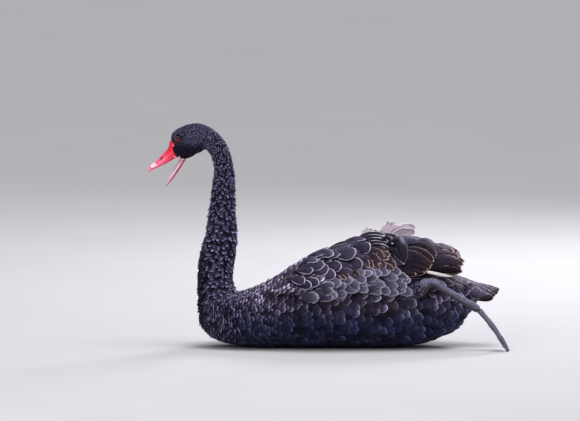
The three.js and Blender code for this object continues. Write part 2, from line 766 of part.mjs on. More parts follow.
const group = new THREE.Group();
function addPart(name, made, look) {
  const { vertProperties, triVerts } = made.getMesh();
  const geometry = new THREE.BufferGeometry();
  geometry.setAttribute('position', new THREE.BufferAttribute(vertProperties, 3));
  geometry.setIndex(new THREE.BufferAttribute(triVerts, 1));
  geometry.computeVertexNormals();
  const mesh = new THREE.Mesh(geometry, new THREE.MeshStandardMaterial(materials[look]));
  mesh.name = name;
  group.add(mesh);
}

addPart('torso', torso, 'body');
neckNames.forEach((name, i) => addPart(name, neckLength(neckLevels[i], neckLevels[i + 1]), 'neck'));
addPart('head', headSolid(), 'neck');
addPart('bill_upper', upperBillSolid(), 'bill');
addPart('bill_lower', lowerBillSolid(), 'bill');
addPart('tongue', tongueSolid(), 'tongue');
addPart('tail', tailSolid(), 'body');
for (const [name, side, leg] of [['left', -1, leftLeg], ['right', 1, rightLeg]]) {
  addPart(`eye_${name}`, eyeBall(side, 0), 'eye');
  addPart(`wing_${name}`, wingSolid(side), 'wing');
  addPart(`shank_${name}`, shankSolid(leg), 'body');
  addPart(`tarsus_${name}`, tarsusSolid(leg), 'leg');
  addPart(`foot_${name}`, placedFoot(leg), 'leg');
}

export default group;
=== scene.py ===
import json
import math
import bpy
import numpy as np
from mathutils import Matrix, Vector
from mathutils.bvhtree import BVHTree

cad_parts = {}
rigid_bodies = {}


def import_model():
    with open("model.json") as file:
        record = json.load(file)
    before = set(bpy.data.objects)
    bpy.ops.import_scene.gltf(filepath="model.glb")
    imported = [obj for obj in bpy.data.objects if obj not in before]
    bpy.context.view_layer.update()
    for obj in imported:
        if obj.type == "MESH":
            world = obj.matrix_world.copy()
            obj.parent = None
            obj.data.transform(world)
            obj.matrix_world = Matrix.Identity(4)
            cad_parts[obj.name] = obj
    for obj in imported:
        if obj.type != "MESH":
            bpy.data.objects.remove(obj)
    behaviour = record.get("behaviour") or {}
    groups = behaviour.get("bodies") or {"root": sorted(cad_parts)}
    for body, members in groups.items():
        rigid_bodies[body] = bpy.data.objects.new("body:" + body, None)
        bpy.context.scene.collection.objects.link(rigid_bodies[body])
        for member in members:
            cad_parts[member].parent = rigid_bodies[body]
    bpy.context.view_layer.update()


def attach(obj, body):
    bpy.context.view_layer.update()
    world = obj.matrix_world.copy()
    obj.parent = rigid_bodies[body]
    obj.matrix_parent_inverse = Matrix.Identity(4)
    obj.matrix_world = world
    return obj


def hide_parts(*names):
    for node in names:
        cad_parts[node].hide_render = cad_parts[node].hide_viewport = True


# Black swan in the pose of one afloat, dressed over its solids. Sizes are millimetres until a mesh is made
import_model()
millimetre = 0.001
scene = bpy.context.scene

# View, floor and light

viewPlan = {
    "elevationDeg": 5,
    "distance": 25.0,
    "fieldWidth": 1.16,
    "aim": (-0.066, 0, 0.2727),
    "sensor": 36,
}


def placeCamera():
    rise = math.radians(viewPlan["elevationDeg"])
    camera = bpy.data.cameras.new("camera")
    camera.sensor_width = viewPlan["sensor"]
    camera.lens = viewPlan["sensor"] * viewPlan["distance"] / viewPlan["fieldWidth"]
    camera.clip_end = 200
    holder = bpy.data.objects.new("camera", camera)
    back = Vector((0, -math.cos(rise), math.sin(rise)))
    holder.location = Vector(viewPlan["aim"]) + back * viewPlan["distance"]
    holder.rotation_mode = "QUATERNION"
    holder.rotation_quaternion = (-back).to_track_quat("-Z", "Y")
    scene.collection.objects.link(holder)
    scene.camera = holder


lightPlan = {
    "sky": (0.93, 0.95, 1.0),
    "skyStrength": 0.34,
    "transform": "Standard",
    "lamps": [
        {"name": "key", "at": (0.6, -0.5, 2.6), "angleDeg": 55, "power": 1.9, "tint": (1.0, 0.97, 1.0)},
        {"name": "overhead", "at": (0.35, -0.35, 2.6), "size": 1.1, "power": 24, "tint": (1.0, 0.96, 1.0)},
        {"name": "front", "at": (-1.2, -2.8, 1.9), "size": 1.2, "power": 30, "tint": (1.0, 0.97, 1.0)},
        {"name": "behind", "at": (1.0, 2.2, 1.7), "size": 1.0, "power": 50, "tint": (0.95, 0.92, 1.0)},
    ],
}


def placeLights():
    for plan in lightPlan["lamps"]:
        if "angleDeg" in plan:
            lamp = bpy.data.lights.new(plan["name"], "SUN")
            lamp.angle = math.radians(plan["angleDeg"])
        else:
            lamp = bpy.data.lights.new(plan["name"], "AREA")
            lamp.size = plan["size"]
        lamp.energy = plan["power"]
        lamp.color = plan["tint"]
        holder = bpy.data.objects.new(plan["name"], lamp)
        holder.location = plan["at"]
        towardSwan = Vector((0, 0, 0.15)) - Vector(plan["at"])
        holder.rotation_mode = "QUATERNION"
        holder.rotation_quaternion = towardSwan.to_track_quat("-Z", "Y")
        scene.collection.objects.link(holder)
    world = bpy.data.worlds.new("sky")
    world.use_nodes = True
    world.node_tree.nodes["Background"].inputs["Color"].default_value = (*lightPlan["sky"], 1)
    world.node_tree.nodes["Background"].inputs["Strength"].default_value = lightPlan["skyStrength"]
    scene.world = world
    scene.view_settings.view_transform = lightPlan["transform"]


# Nodes and materials


def putNode(tree, kind, inputs=None, **settings):
    node = tree.nodes.new(kind)
    for key, value in settings.items():
        setattr(node, key, value)
    for key, value in (inputs or {}).items():
        if isinstance(value, bpy.types.NodeSocket):
            tree.links.new(value, node.inputs[key])
        else:
            node.inputs[key].default_value = value
    return node


def calc(tree, operation, first, second=0.0):
    return putNode(tree, "ShaderNodeMath", {0: first, 1: second}, operation=operation).outputs[0]


def times(tree, first, second):
    return calc(tree, "MULTIPLY", first, second)


def plus(tree, first, second):
    return calc(tree, "ADD", first, second)


def minus(tree, first, second):
    return calc(tree, "SUBTRACT", first, second)


def placeOn(tree):
    return putNode(tree, "ShaderNodeTexCoord").outputs["Object"]


def paint(tree, shader, tone):
    tree.links.new(tone, shader.inputs["Base Color"])


def mixColour(tree, share, first, second, blend="MIX"):
    node = putNode(tree, "ShaderNodeMix", {0: share, 6: first, 7: second}, data_type="RGBA",
                   blend_type=blend)
    return node.outputs[2]


def easeBetween(tree, value, low, high):
    inputs = {"Value": value, "From Min": low, "From Max": high}
    return putNode(tree, "ShaderNodeMapRange", inputs, interpolation_type="SMOOTHSTEP").outputs[0]


def noiseOn(tree, place, scale, detail=3.0, stretch=None):
    if stretch:
        place = putNode(tree, "ShaderNodeMapping", {"Vector": place, "Scale": stretch}).outputs[0]
    inputs = {"Vector": place, "Scale": scale, "Detail": detail}
    return putNode(tree, "ShaderNodeTexNoise", inputs).outputs["Fac"]


def newMaterial(name, **uniform):
    material = bpy.data.materials.new(name)
    material.use_nodes = True
    tree = material.node_tree
    shader = tree.nodes["Principled BSDF"]
    for key, value in uniform.items():
        shader.inputs[key].default_value = value
    return material, tree, shader


def addBump(tree, shader, height, strength, distance):
    inputs = {"Height": height, "Strength": strength, "Distance": distance}
    node = putNode(tree, "ShaderNodeBump", inputs)
    tree.links.new(node.outputs[0], shader.inputs["Normal"])


def floorMaterial():
    material, tree, shader = newMaterial("paleFloor", Roughness=0.9)
    place = placeOn(tree)
    grain = noiseOn(tree, place, 3.0)
    tone = mixColour(tree, grain, (0.46, 0.46, 0.47, 1), (0.50, 0.50, 0.50, 1))
    paint(tree, shader, tone)
    return material


def placeFloor():
    mesh = bpy.data.meshes.new("floor")
    half = 60
    mesh.from_pydata([(-half, -half, 0), (half, -half, 0), (half, half, 0), (-half, half, 0)], [],
                     [(0, 1, 2, 3)])
    floor = bpy.data.objects.new("floor", mesh)
    floor.data.materials.append(floorMaterial())
    scene.collection.objects.link(floor)


# Colours of the plumage by its place on the bird, the same on skin and coat. The neck and head feather tips
# carry a painted sheen, the lower front of the head painted shade
plumagePlan = {
    "body": (0.022, 0.018, 0.038, 1),
    "bodyRim": (0.60, 0.55, 0.76, 1),
    "brown": (0.065, 0.032, 0.034, 1),
    "neck": (0.005, 0.005, 0.016, 1),
    # Neck tip colour: a painted lilac sheen on the black feathers
    "neckRim": (0.27, 0.26, 0.44, 1),
    # Painted shade: the lower front of the head is darker, with a dimmer painted sheen on its tips
    "cheek": (0.003, 0.003, 0.009, 1),
    "cheekRim": (0.050, 0.048, 0.085, 1),
    "low": (0.010, 0.012, 0.036, 1),
    "lowRim": (0.10, 0.115, 0.22, 1),
}


def plumageTones():
    group = bpy.data.node_groups.new("plumageTones", "ShaderNodeTree")
    group.interface.new_socket("Tone", in_out="OUTPUT", socket_type="NodeSocketColor")
    group.interface.new_socket("Rim", in_out="OUTPUT", socket_type="NodeSocketColor")
    out = group.nodes.new("NodeGroupOutput")
    place = placeOn(group)
    along, _, height = putNode(group, "ShaderNodeSeparateXYZ", {0: place}).outputs[:3]
    wander = times(group, minus(group, noiseOn(group, place, 14.0), 0.5), 0.05)
    bodyShare = easeBetween(group, plus(group, along, wander), -0.185, -0.135)
    lowLine = plus(group, height, wander)
    lowShare = easeBetween(group, lowLine, 0.105, 0.055)
    patches = noiseOn(group, place, 26.0, 2.0)
    brownShare = times(group, easeBetween(group, patches, 0.5, 0.68), 0.55)
    body = mixColour(group, brownShare, plumagePlan["body"], plumagePlan["brown"])
    body = mixColour(group, lowShare, body, plumagePlan["low"])
    bodyRim = mixColour(group, lowShare, plumagePlan["bodyRim"], plumagePlan["lowRim"])
    # Painted shade: darker towards the bottom of the head's front, below the eye
    cheekLine = plus(group, height, times(group, wander, 0.4))
    cheekShadeShare = times(group, easeBetween(group, cheekLine, 0.417, 0.399),
                       easeBetween(group, along, -0.228, -0.246))
    neck = mixColour(group, cheekShadeShare, plumagePlan["neck"], plumagePlan["cheek"])
    neckRim = mixColour(group, cheekShadeShare, plumagePlan["neckRim"], plumagePlan["cheekRim"])
    tone = mixColour(group, bodyShare, neck, body)
    # Rim colour: pale fringes on the body feathers, painted sheen on the neck and head tips
    rim = mixColour(group, bodyShare, neckRim, bodyRim)
    group.links.new(tone, out.inputs["Tone"])
    group.links.new(rim, out.inputs["Rim"])
    return group


# A feather's own pattern: 0 to 1 across and 0 to 1 from root to tip
def vanePattern(tree, barbs):
    vane = putNode(tree, "ShaderNodeUVMap", uv_map="Vane").outputs[0]
    across, along, _ = putNode(tree, "ShaderNodeSeparateXYZ", {0: vane}).outputs[:3]
    off = calc(tree, "ABSOLUTE", minus(tree, times(tree, across, 2.0), 1.0))
    slant = minus(tree, times(tree, along, barbs),
                  times(tree, off, barbs * 0.55))
    lines = calc(tree, "SINE", times(tree, slant, 2 * math.pi))
    return off, along, lines, vane


# Feather finish: a violet shine that keeps dull
def plumeShine(shader):
    shader.inputs["Specular IOR Level"].default_value = 0.1
    shader.inputs["Specular Tint"].default_value = (0.85, 0.70, 1.0, 1)
    shader.inputs["Sheen Weight"].default_value = 0.09
    shader.inputs["Sheen Roughness"].default_value = 0.4
    shader.inputs["Sheen Tint"].default_value = (0.62, 0.50, 1.0, 1)


def coatMaterial(name, tones, rimWidth, rimShare, tipFrom=0.5, barbs=9.0):
    material, tree, shader = newMaterial(name, Roughness=0.5)
    plumeShine(shader)
    group = putNode(tree, "ShaderNodeGroup", node_tree=tones)
    _, along, lines, _ = vanePattern(tree, barbs)
    shade, edge = readPlace(tree, "shade"), readPlace(tree, "edge")
    rim = easeBetween(tree, edge, rimWidth, rimWidth * 0.35)
    # Tips take the rim colour: a pale fringe on body feathers, a painted sheen on neck and head feathers
    tipFringeAndSheen = times(tree, easeBetween(tree, along, tipFrom, 1.0), 0.3)
    rim = times(tree, calc(tree, "MAXIMUM", rim, tipFringeAndSheen), easeBetween(tree, along, 0.3, 0.75))
    # shade is random tone on the body; on neck and head it also carries the painted light and shade of the
    # clumps
    rim = times(tree, rim, times(tree, plus(tree, shade, 0.15), rimShare))
    tone = mixColour(tree, rim, group.outputs["Tone"], group.outputs["Rim"])
    # Brightness from shade: random tone, and on neck and head painted shade in the gaps between clumps
    toneAndClumpShade = plus(tree, times(tree, shade, 1.5), 0.3)
    toneAndClumpShade = times(tree, toneAndClumpShade, plus(tree, times(tree, lines, 0.14), 1.0))
    tone = mixColour(tree, 1.0, tone, toneAndClumpShade, "MULTIPLY")
    paint(tree, shader, tone)
    addBump(tree, shader, lines, 0.3, 0.0004)
    return material


def skinMaterial(tones):
    material, tree, shader = newMaterial("darkSkin", Roughness=0.85)
    group = putNode(tree, "ShaderNodeGroup", node_tree=tones)
    place = placeOn(tree)
    down = noiseOn(tree, place, 600.0, 4.0)
    tone = mixColour(tree, down, (0.25, 0.25, 0.25, 1), (1, 1, 1, 1))
    tone = mixColour(tree, 1.0, group.outputs["Tone"], tone, "MULTIPLY")
    paint(tree, shader, tone)
    addBump(tree, shader, down, 0.6, 0.001)
    return material


# Curves and surfaces. Trunk, neck, wing and legs repeat the tables of the solids


def throughRows(rows):
    table = np.array(rows, float)
    places = table[:, 0]
    number = np.arange(len(places))
    ahead = np.minimum(number + 1, len(places) - 1)
    behind = np.maximum(number - 1, 0)
    slopes = (table[ahead] - table[behind]) / (places[ahead] - places[behind])[:, None]

    def at(where):
        where = np.clip(np.asarray(where, float), places[0], places[-1])
        i = np.clip(np.searchsorted(places, where, side="right") - 1, 0, len(places) - 2)
        step = (places[i + 1] - places[i])[..., None]
        t = (where - places[i])[..., None] / step
        rise = table[i + 1] - table[i]
        leave, reach = slopes[i] * step, slopes[i + 1] * step
        return table[i] + t * (leave + t * (3 * rise - 2 * leave - reach + t * (leave + reach - 2 * rise)))

    return at


def curveThrough(points):
    table = np.array(points, float)
    table = np.vstack([2 * table[0] - table[1], table, 2 * table[-1] - table[-2]])
    steps = np.maximum(np.linalg.norm(np.diff(table, axis=0), axis=1) ** 0.5, 1e-4)

    def at(where):
        where = np.clip(np.asarray(where, float), 0, len(points) - 1)
        i = np.minimum(where.astype(int), len(points) - 2)
        t = (where - i)[..., None]
        a, b, c, d = table[i], table[i + 1], table[i + 2], table[i + 3]
        u, v, w = (steps[i + k][..., None] for k in range(3))
        leave = ((b - a) / u - (c - a) / (u + v) + (c - b) / v) * v
        reach = ((c - b) / v - (d - b) / (v + w) + (d - c) / w) * v
        rise = c - b
        return b + t * (leave + t * (3 * rise - 2 * leave - reach + t * (leave + reach - 2 * rise)))

    return at


def turnsRound(count):
    return np.linspace(0, 2 * math.pi, count + 1)[:-1]


def unit(vectors):
    return vectors / np.maximum(np.linalg.norm(vectors, axis=-1, keepdims=True), 1e-9)


def signedPower(value, exponent):
    return np.sign(value) * np.abs(value) ** exponent


# Round limb through rows of x, y, z, half depth, half width; where counts rows, turn is in radians
def limbAlong(rows):
    line = curveThrough([row[:3] for row in rows])
    sizes = curveThrough([[row[3], row[4], 0] for row in rows])

    def at(where, turn, grow=0.0):
        where, turn = np.broadcast_arrays(np.asarray(where, float), np.asarray(turn, float))
        forward = unit(line(where + 0.01) - line(where - 0.01))
        across = unit(np.array([0, 1.0, 0]) - forward * forward[..., 1:2])
        up = np.cross(across, forward)
        size = sizes(where)
        depth, width = size[..., 0:1] + grow, size[..., 1:2] + grow
        turn = turn[..., None]
        return line(where) + up * np.cos(turn) * depth + across * np.sin(turn) * width

    return at


bodyPlan = {
    "roundness": 2.25,
    "trunk": [  # x, belly height, back height, half width, height of the widest line
        [-251, 64, 97, 12, 80], [-246, 46, 101, 33, 78], [-236, 28, 105, 52, 76],
        [-219, 14, 108, 70, 75], [-193, 5, 110, 88, 77], [-157, -1, 114, 103, 82],
        [-110, -4, 133, 113, 90], [-50, -4, 170, 121, 99], [10, -4, 190, 124, 106],
        [80, -4, 196, 123, 110], [150, -3, 188, 115, 111], [210, 6, 170, 96, 109],
        [258, 30, 148, 68, 106], [288, 62, 137, 42, 106], [304, 84, 130, 18, 109],
    ],
    "neck": [  # x, z, half depth, half width
        [-300, 393.5, 13, 9.5], [-296, 395.5, 18.6, 13.4], [-287, 400.5, 28, 18.2],
        [-280.5, 405.5, 30.5, 21.6], [-267, 414.5, 30.5, 23.8], [-251, 418.5, 30, 23.5],
        [-236, 418, 25.5, 21.5], [-221, 411, 21, 19.5], [-208.5, 394, 20.6, 18.8],
        [-201, 373, 20.4, 18.8], [-198, 350, 21.3, 19.5], [-198.5, 325, 23.4, 21.5],
        [-199.8, 293, 25.8, 24], [-202, 263, 29, 27], [-203.4, 233, 31.6, 30],
        [-206, 203, 34.3, 33], [-212, 173, 35.8, 36], [-215.5, 143, 35.2, 40],
        [-214, 115, 37.5, 46], [-206, 88, 42, 54], [-190, 62, 44, 60],
    ],
    "coatDepth": {"trunk": 5.5, "neck": 3.2, "head": 0.3, "wing": 3.5, "shank": 1.5},
    "voxel": 3.0,
    "smoothing": 7,
}
trunkAt = throughRows(bodyPlan["trunk"])
trunkStart = bodyPlan["trunk"][0][0]
trunkLength = bodyPlan["trunk"][-1][0] - trunkStart
neckAt = limbAlong([[x, 0, z, depth, width] for x, z, depth, width in bodyPlan["neck"]])
neckEnd = len(bodyPlan["neck"]) - 1


def trunkPoint(x, turn, grow=0.0):
    x, turn = np.broadcast_arrays(np.asarray(x, float), np.asarray(turn, float))
    _, belly, back, half, widest = np.moveaxis(trunkAt(x), -1, 0)
    side = signedPower(np.cos(turn), 2 / bodyPlan["roundness"]) * (half + grow)
    rise = signedPower(np.sin(turn), 2 / bodyPlan["roundness"])
    reach = np.where(rise > 0, back - widest, widest - belly) + grow
    return np.stack([x, side, widest + rise * reach], -1)


wingPlan = {
    "axis": 108,
    "rows": [  # x, top height, half width, lower edge height, inner edge from the middle
        [-120, 124, 114, 112, 92], [-100, 136, 119, 118, 80], [-80, 147, 123, 121, 68],
        [-43, 169, 128, 126, 51], [0, 190, 130, 142, 34], [40, 203, 130, 155, 18],
        [70, 211, 129, 164, 9], [100, 213, 126, 165, 5], [140, 211, 119, 162, 4],
        [180, 208, 108, 159, 4], [212, 201, 96, 158, 5], [240, 195, 84, 155, 6],
        [270, 184, 68, 150, 8], [290, 172, 56, 147, 10],
    ],
    "core": {"from": -114, "to": 196, "depth": 36},
}
wingAt = throughRows(wingPlan["rows"])
wingStart = wingPlan["rows"][0][0]
wingLength = wingPlan["rows"][-1][0] - wingStart


# Point over the folded wing: share 0 at its lower edge, 1 at its inner edge
def wingPoint(side, x, share, lift=0.0):
    x, share, lift = np.broadcast_arrays(*(np.asarray(v, float) for v in (x, share, lift)))
    _, top, half, low, inner = np.moveaxis(wingAt(x), -1, 0)
    height = top - wingPlan["axis"]
    power = bodyPlan["roundness"]
    lowTurn = np.arcsin(np.clip((low - wingPlan["axis"]) / height, 0, 1) ** (power / 2))
    highTurn = np.arccos(np.clip(inner / half, 0, 1) ** (power / 2))
    turn = np.clip(lowTurn + (highTurn - lowTurn) * share, 0.02, 1.55)
    out = np.cos(turn) ** (2 / power)
    rise = np.sin(turn) ** (2 / power)
    normal = unit(np.stack([out ** (power - 1) / half, rise ** (power - 1) / height], -1)) * lift[..., None]
    y = side * (half * out + normal[..., 0])
    return np.stack([x, y, wingPlan["axis"] + height * rise + normal[..., 1]], -1)


girthPlaces = np.linspace(wingStart, wingStart + wingLength, 42)
girthShares = np.linspace(0, 1, 15)
girthTable = np.linalg.norm(np.diff(wingPoint(1, girthPlaces[:, None], girthShares[None]), axis=1),
                            axis=-1).sum(1)


# Meshes from grids of points


# Joins grids given as points and faces, each turned right side out where asked
def joinParts(parts, outward=False):
    points, faces, start = [], [], 0
    for spots, made in parts:
        if outward and signedVolume(spots, made) < 0:
            made = [tuple(reversed(face)) for face in made]
        points.append(spots)
        faces += [tuple(i + start for i in face) for face in made]
        start += len(spots)
    return np.vstack(points), faces


def meshObject(name, points, faces, material=None):
    mesh = bpy.data.meshes.new(name)
    mesh.from_pydata((np.asarray(points).reshape(-1, 3) * millimetre).tolist(), [], faces)
    mesh.update()
    mesh.shade_smooth()
    made = bpy.data.objects.new(name, mesh)
    if material:
        mesh.materials.append(material)
    scene.collection.objects.link(made)
    return made


# Faces of a grid whose columns close into rings, with a fan over each end
def ringFaces(rows, sides):
    faces = []
    for r in range(rows - 1):
        for s in range(sides):
            n = (s + 1) % sides
            faces.append((r * sides + s, r * sides + n, (r + 1) * sides + n, (r + 1) * sides + s))
    first, last = rows * sides, rows * sides + 1
    for s in range(sides):
        n = (s + 1) % sides
        faces.append((first, n, s))
        faces.append((last, (rows - 1) * sides + s, (rows - 1) * sides + n))
    return faces


def ringPoints(rings):
    rings = np.asarray(rings, float)
    return np.vstack([rings.reshape(-1, 3), rings[0].mean(0), rings[-1].mean(0)])


def outwardNormals(made):
    mesh = made.data
    mesh.calc_loop_triangles()
    co = np.array([v.co for v in mesh.vertices])
    tri = co[np.array([tuple(t.vertices) for t in mesh.loop_triangles])]
    if np.einsum("ij,ij->i", tri[:, 0], np.cross(tri[:, 1], tri[:, 2])).sum() < 0:
        mesh.flip_normals()
    return made


# Closed shape over rings, with a UV map named Along: round it and from end to end
def ringObject(name, rings, material=None):
    rings = np.asarray(rings, float)
    rows, sides = rings.shape[:2]
    made = meshObject(name, ringPoints(rings), ringFaces(rows, sides), material)
    outwardNormals(made)
    mesh = made.data
    loops = np.zeros(len(mesh.loops), int)
    mesh.loops.foreach_get("vertex_index", loops)
    starts = np.repeat([p.index for p in mesh.polygons], [p.loop_total for p in mesh.polygons])
    column, row = loops % sides, np.minimum(loops // sides, rows - 1)
    column = np.where(loops >= rows * sides, sides / 2, column).astype(float)
    widest = np.zeros(len(mesh.polygons))
    np.maximum.at(widest, starts, column)
    column = np.where((column == 0) & (widest[starts] > sides / 2 + 1), sides, column)
    uv = np.stack([column / sides, row / (rows - 1)], -1)
    mesh.uv_layers.new(name="Along").data.foreach_set("uv", uv.astype(np.float32).ravel())
    return made


def plainMesh(made, name):
    graph = bpy.context.evaluated_depsgraph_get()
    mesh = bpy.data.meshes.new_from_object(made.evaluated_get(graph))
    mesh.name = name
    made.modifiers.clear()
    old = made.data
    made.data = mesh
    made.name = name
    bpy.data.meshes.remove(old)
    return made


# Skin

legPlan = {
    "left": {
        "side": -1,
        "shank": [[118, -78, 92, 30, 20], [150, -92, 104, 25, 17], [184, -100, 120, 17, 12],
                  [209, -103, 133, 10.5, 9]],
        "heel": [[192, -101.5, 126, 9, 8], [203, -103, 133, 12.5, 11]],  # not in the solids
        "bareFrom": 2.5,
        "tarsus": [[214, -103.5, 137, 9.5, 8.5], [223, -103.5, 136.5, 9, 7.6], [238, -102, 126, 7.4, 5.4],
                   [262, -99, 111, 7.2, 5], [286, -96, 97, 7.4, 5.2], [302, -94, 87.5, 8.4, 7],
                   [309, -93, 83, 7.4, 7.4]],
        "foot": {"joint": [311.5, -93, 81], "headingDeg": 0, "pitchDeg": -53, "spreadDeg": 11},
    },
    "right": {
        "side": 1,
        "shank": [[120, 78, 92, 30, 20], [155, 92, 88, 25, 17], [190, 97, 80, 17, 12],
                  [217, 98, 72, 10.5, 9]],
        "tarsus": [[222, 98, 69, 9.5, 8.5], [224, 98, 61, 9, 7.6], [208, 98.5, 50, 7.4, 5.4],
                   [184, 99, 39, 7.2, 5], [160, 99.5, 28, 7.4, 5.2], [145, 100, 17.8, 8.4, 7],
                   [139, 100, 12.6, 7.4, 7.4]],
        "foot": {"joint": [136, 100, 7.9], "headingDeg": 180, "pitchDeg": -2, "spreadDeg": 15},
    },
}


def neckDepth(where):
    depth = bodyPlan["coatDepth"]
    depths = [depth["head"] * 0.8, depth["head"], depth["neck"], depth["neck"] + 1]
    return np.interp(where, [0, 3, 8, 14], depths)


def skinForms():
    depth = bodyPlan["coatDepth"]
    turns = turnsRound(64)
    x = np.linspace(trunkStart, trunkStart + trunkLength, 90)
    trunk = trunkPoint(x[:, None], turns[None], -depth["trunk"])
    trunk[0, :, 0] += depth["trunk"]
    trunk[-1, :, 0] -= depth["trunk"]
    trunk[..., 2] = np.maximum(trunk[..., 2], 1.2)
    yield trunk
    where = np.linspace(0, neckEnd, 160)
    yield np.stack([neckAt(w, turns[::2], -float(neckDepth(w))) for w in where])
    core = wingPlan["core"]
    for side in (-1, 1):
        rings = []
        for x in np.linspace(core["from"], core["to"], 60):
            shares = np.linspace(0.04, 0.97, 16)
            top = wingPoint(side, x, shares, -depth["wing"])
            under = wingPoint(side, x, shares[::-1], -core["depth"])
            rings.append(np.vstack([top, under]))
        yield np.stack(rings)
    for leg in legPlan.values():
        shank = limbAlong(leg["shank"])
        yield np.stack([shank(w, turns[::2], -depth["shank"]) for w in np.linspace(0, 3, 24)])


upperBill = {
    "base": (-297.6, 396.6),
    "headingDeg": 217.7,
    "hollow": 2.6,
    "rows": [  # distance along, culmen height, cutting edge height, half width
        [-9, 9, -14, 11.6], [-6.5, 15.2, -15, 12.6], [-3.1, 17.7, -15.4, 12.9], [0, 15.4, -15.6, 13.1],
        [5, 11.4, -15.4, 13.3], [12, 8.3, -15, 13.1], [21, 6.8, -14.1, 12.6], [31, 5.5, -12.2, 12.2],
        [42, 3.6, -9.9, 12], [52, 3.1, -7.6, 11.8], [60, 3, -5.6, 10.6], [66, 1.8, -5.2, 8.2],
        [69.5, -0.4, -5.8, 5.4], [71.6, -3.4, -7.2, 2.6],
    ],
    "border": [  # height, how far forward the feathered face reaches
        [-25, 2], [-15, 8.6], [-9.5, 8], [-2.6, 5.4], [3.7, 0.4], [6, -6.4], [9, -9], [20, -9],
    ],
    "nostril": {"along": 31.5, "height": 1.9, "size": (3.9, 1.5), "deep": 2.4, "tiltDeg": 6},
}
lowerBill = {
    "base": (-283, 372.5),
    "headingDeg": 238.7,
    "hollow": 3.0,
    "rows": [  # distance along, rim height, keel height, half width
        [-6, 2, -7, 10.4], [3, 2.2, -6.8, 11], [13, 2, -6.4, 11], [25, 1.9, -5.6, 10.4],
        [38, 1.9, -4.6, 9.4], [48, 2.2, -3.0, 8], [55, 1.7, -1.8, 5.8], [60.3, 0.6, -0.9, 2],
    ],
}


def billPoint(bill, along, across, height):
    turn = math.radians(bill["headingDeg"])
    along, across, height = np.broadcast_arrays(along, across, height)
    x = bill["base"][0] + along * math.cos(turn) + height * math.sin(turn)
    z = bill["base"][1] + along * math.sin(turn) - height * math.cos(turn)
    return np.stack([x, across, z], -1).astype(float)


# Distance along the bill and height above its axis, for points in space
def billPlace(bill, points):
    turn = math.radians(bill["headingDeg"])
    x, z = points[..., 0] - bill["base"][0], points[..., 2] - bill["base"][1]
    return x * math.cos(turn) + z * math.sin(turn), x * math.sin(turn) - z * math.cos(turn)


def billWidth(bill, along, height):
    _, top, under, half = np.moveaxis(throughRows(bill["rows"])(along), -1, 0)
    share = np.clip((height - under) / (top - under), 0, 1)
    return half * np.sqrt(1 - share ** 2.5)


eyePlan = {
    "centre": (-290.5, 14.2, 418.3),
    "radius": 5.4,
    "tiltDeg": 14,
    "socket": 6.4,
    "lore": ((-296.5, 414.2), (-285.5, 413.0)),
}


# Where no feather grows: in front of the red bill's border, round the eyes, on the lore and in the mouth
def bareSkin(points):
    along, height = billPlace(upperBill, points)
    line = np.array(upperBill["border"])
    face = (points[:, 0] < -278) & (points[:, 2] > 372)
    front = face & (along > np.interp(height, line[:, 0], line[:, 1])) & (points[:, 2] < 413.4)
    mouth = face & (points[:, 2] < 384) & (np.abs(points[:, 1]) < 13) & (points[:, 0] < -286.5)
    centre = eyePlan["centre"]
    reach = np.hypot((points[:, 0] - centre[0]) / 1.12, points[:, 2] - centre[2])
    eye = (reach < 6.2) & (np.abs(points[:, 1]) > 8)
    (x0, z0), (x1, z1) = eyePlan["lore"]
    share = np.clip((points[:, 0] - x0) / (x1 - x0), 0, 1)
    off = np.hypot(points[:, 0] - (x0 + share * (x1 - x0)), points[:, 2] - (z0 + share * (z1 - z0)))
    lore = (off < 1.5) & (np.abs(points[:, 1]) > 5)
    return front | mouth | eye | lore


# Brings the face's skin over the rear of the bill up to its border, and under it in front
def shapeFace(points):
    along, height = billPlace(upperBill, points)
    line = np.array(upperBill["border"])
    border = np.interp(height, line[:, 0], line[:, 1])
    _, top, under, _ = np.moveaxis(throughRows(upperBill["rows"])(along), -1, 0)
    near = (along > -14) & (along < 40) & (height > under - 1) & (height < top - 0.5) & (points[:, 2] < 413)
    width = billWidth(upperBill, along, height)
    side = np.sign(points[:, 1])
    out = np.abs(points[:, 1])
    cover = near & (along < border + 0.4) & (along > -9)
    under = near & (along >= border + 0.4)
    out = np.where(cover, np.maximum(out, width + 0.6), out)
    out = np.where(under, np.minimum(out, np.maximum(width - 1.2, 0)), out)
    points[:, 1] = side * out
    return points


# Sockets pressed into the skin round the eyes
def pressSockets(points):
    centre = np.array(eyePlan["centre"])
    for side in (-1, 1):
        off = points - centre * [1, side, 1]
        reach = np.hypot(off[:, 0], off[:, 2])
        near = (reach < eyePlan["socket"] + 3) & (points[:, 1] * side > 0)
        share = np.clip((reach - eyePlan["socket"] + 1) / 4, 0, 1)
        floor = centre[1] - 1.5
        pressed = floor + (np.abs(points[:, 1]) - floor) * share
        points[near, 1] = (side * np.minimum(np.abs(points[:, 1]), pressed))[near]
    return points


def makeSkin(material):
    parts = [(ringPoints(rings), ringFaces(*rings.shape[:2])) for rings in skinForms()]
    skin = meshObject("skin", *joinParts(parts), material)
    remesh = skin.modifiers.new("remesh", "REMESH")
    remesh.mode = "VOXEL"
    remesh.voxel_size = bodyPlan["voxel"] * millimetre
    smooth = skin.modifiers.new("smooth", "SMOOTH")
    smooth.factor = 0.5
    smooth.iterations = bodyPlan["smoothing"]
    plainMesh(skin, "skin")
    mesh = skin.data
    co = np.zeros(len(mesh.vertices) * 3, np.float32)
    mesh.vertices.foreach_get("co", co)
    co = pressSockets(shapeFace(co.reshape(-1, 3) / millimetre))
    co[:, 2] = np.maximum(co[:, 2], 0.6)
    mesh.vertices.foreach_set("co", (co * millimetre).astype(np.float32).ravel())
    mesh.update()
    mesh.shade_smooth()
    if not mesh.materials:
        mesh.materials.append(material)
    return skin


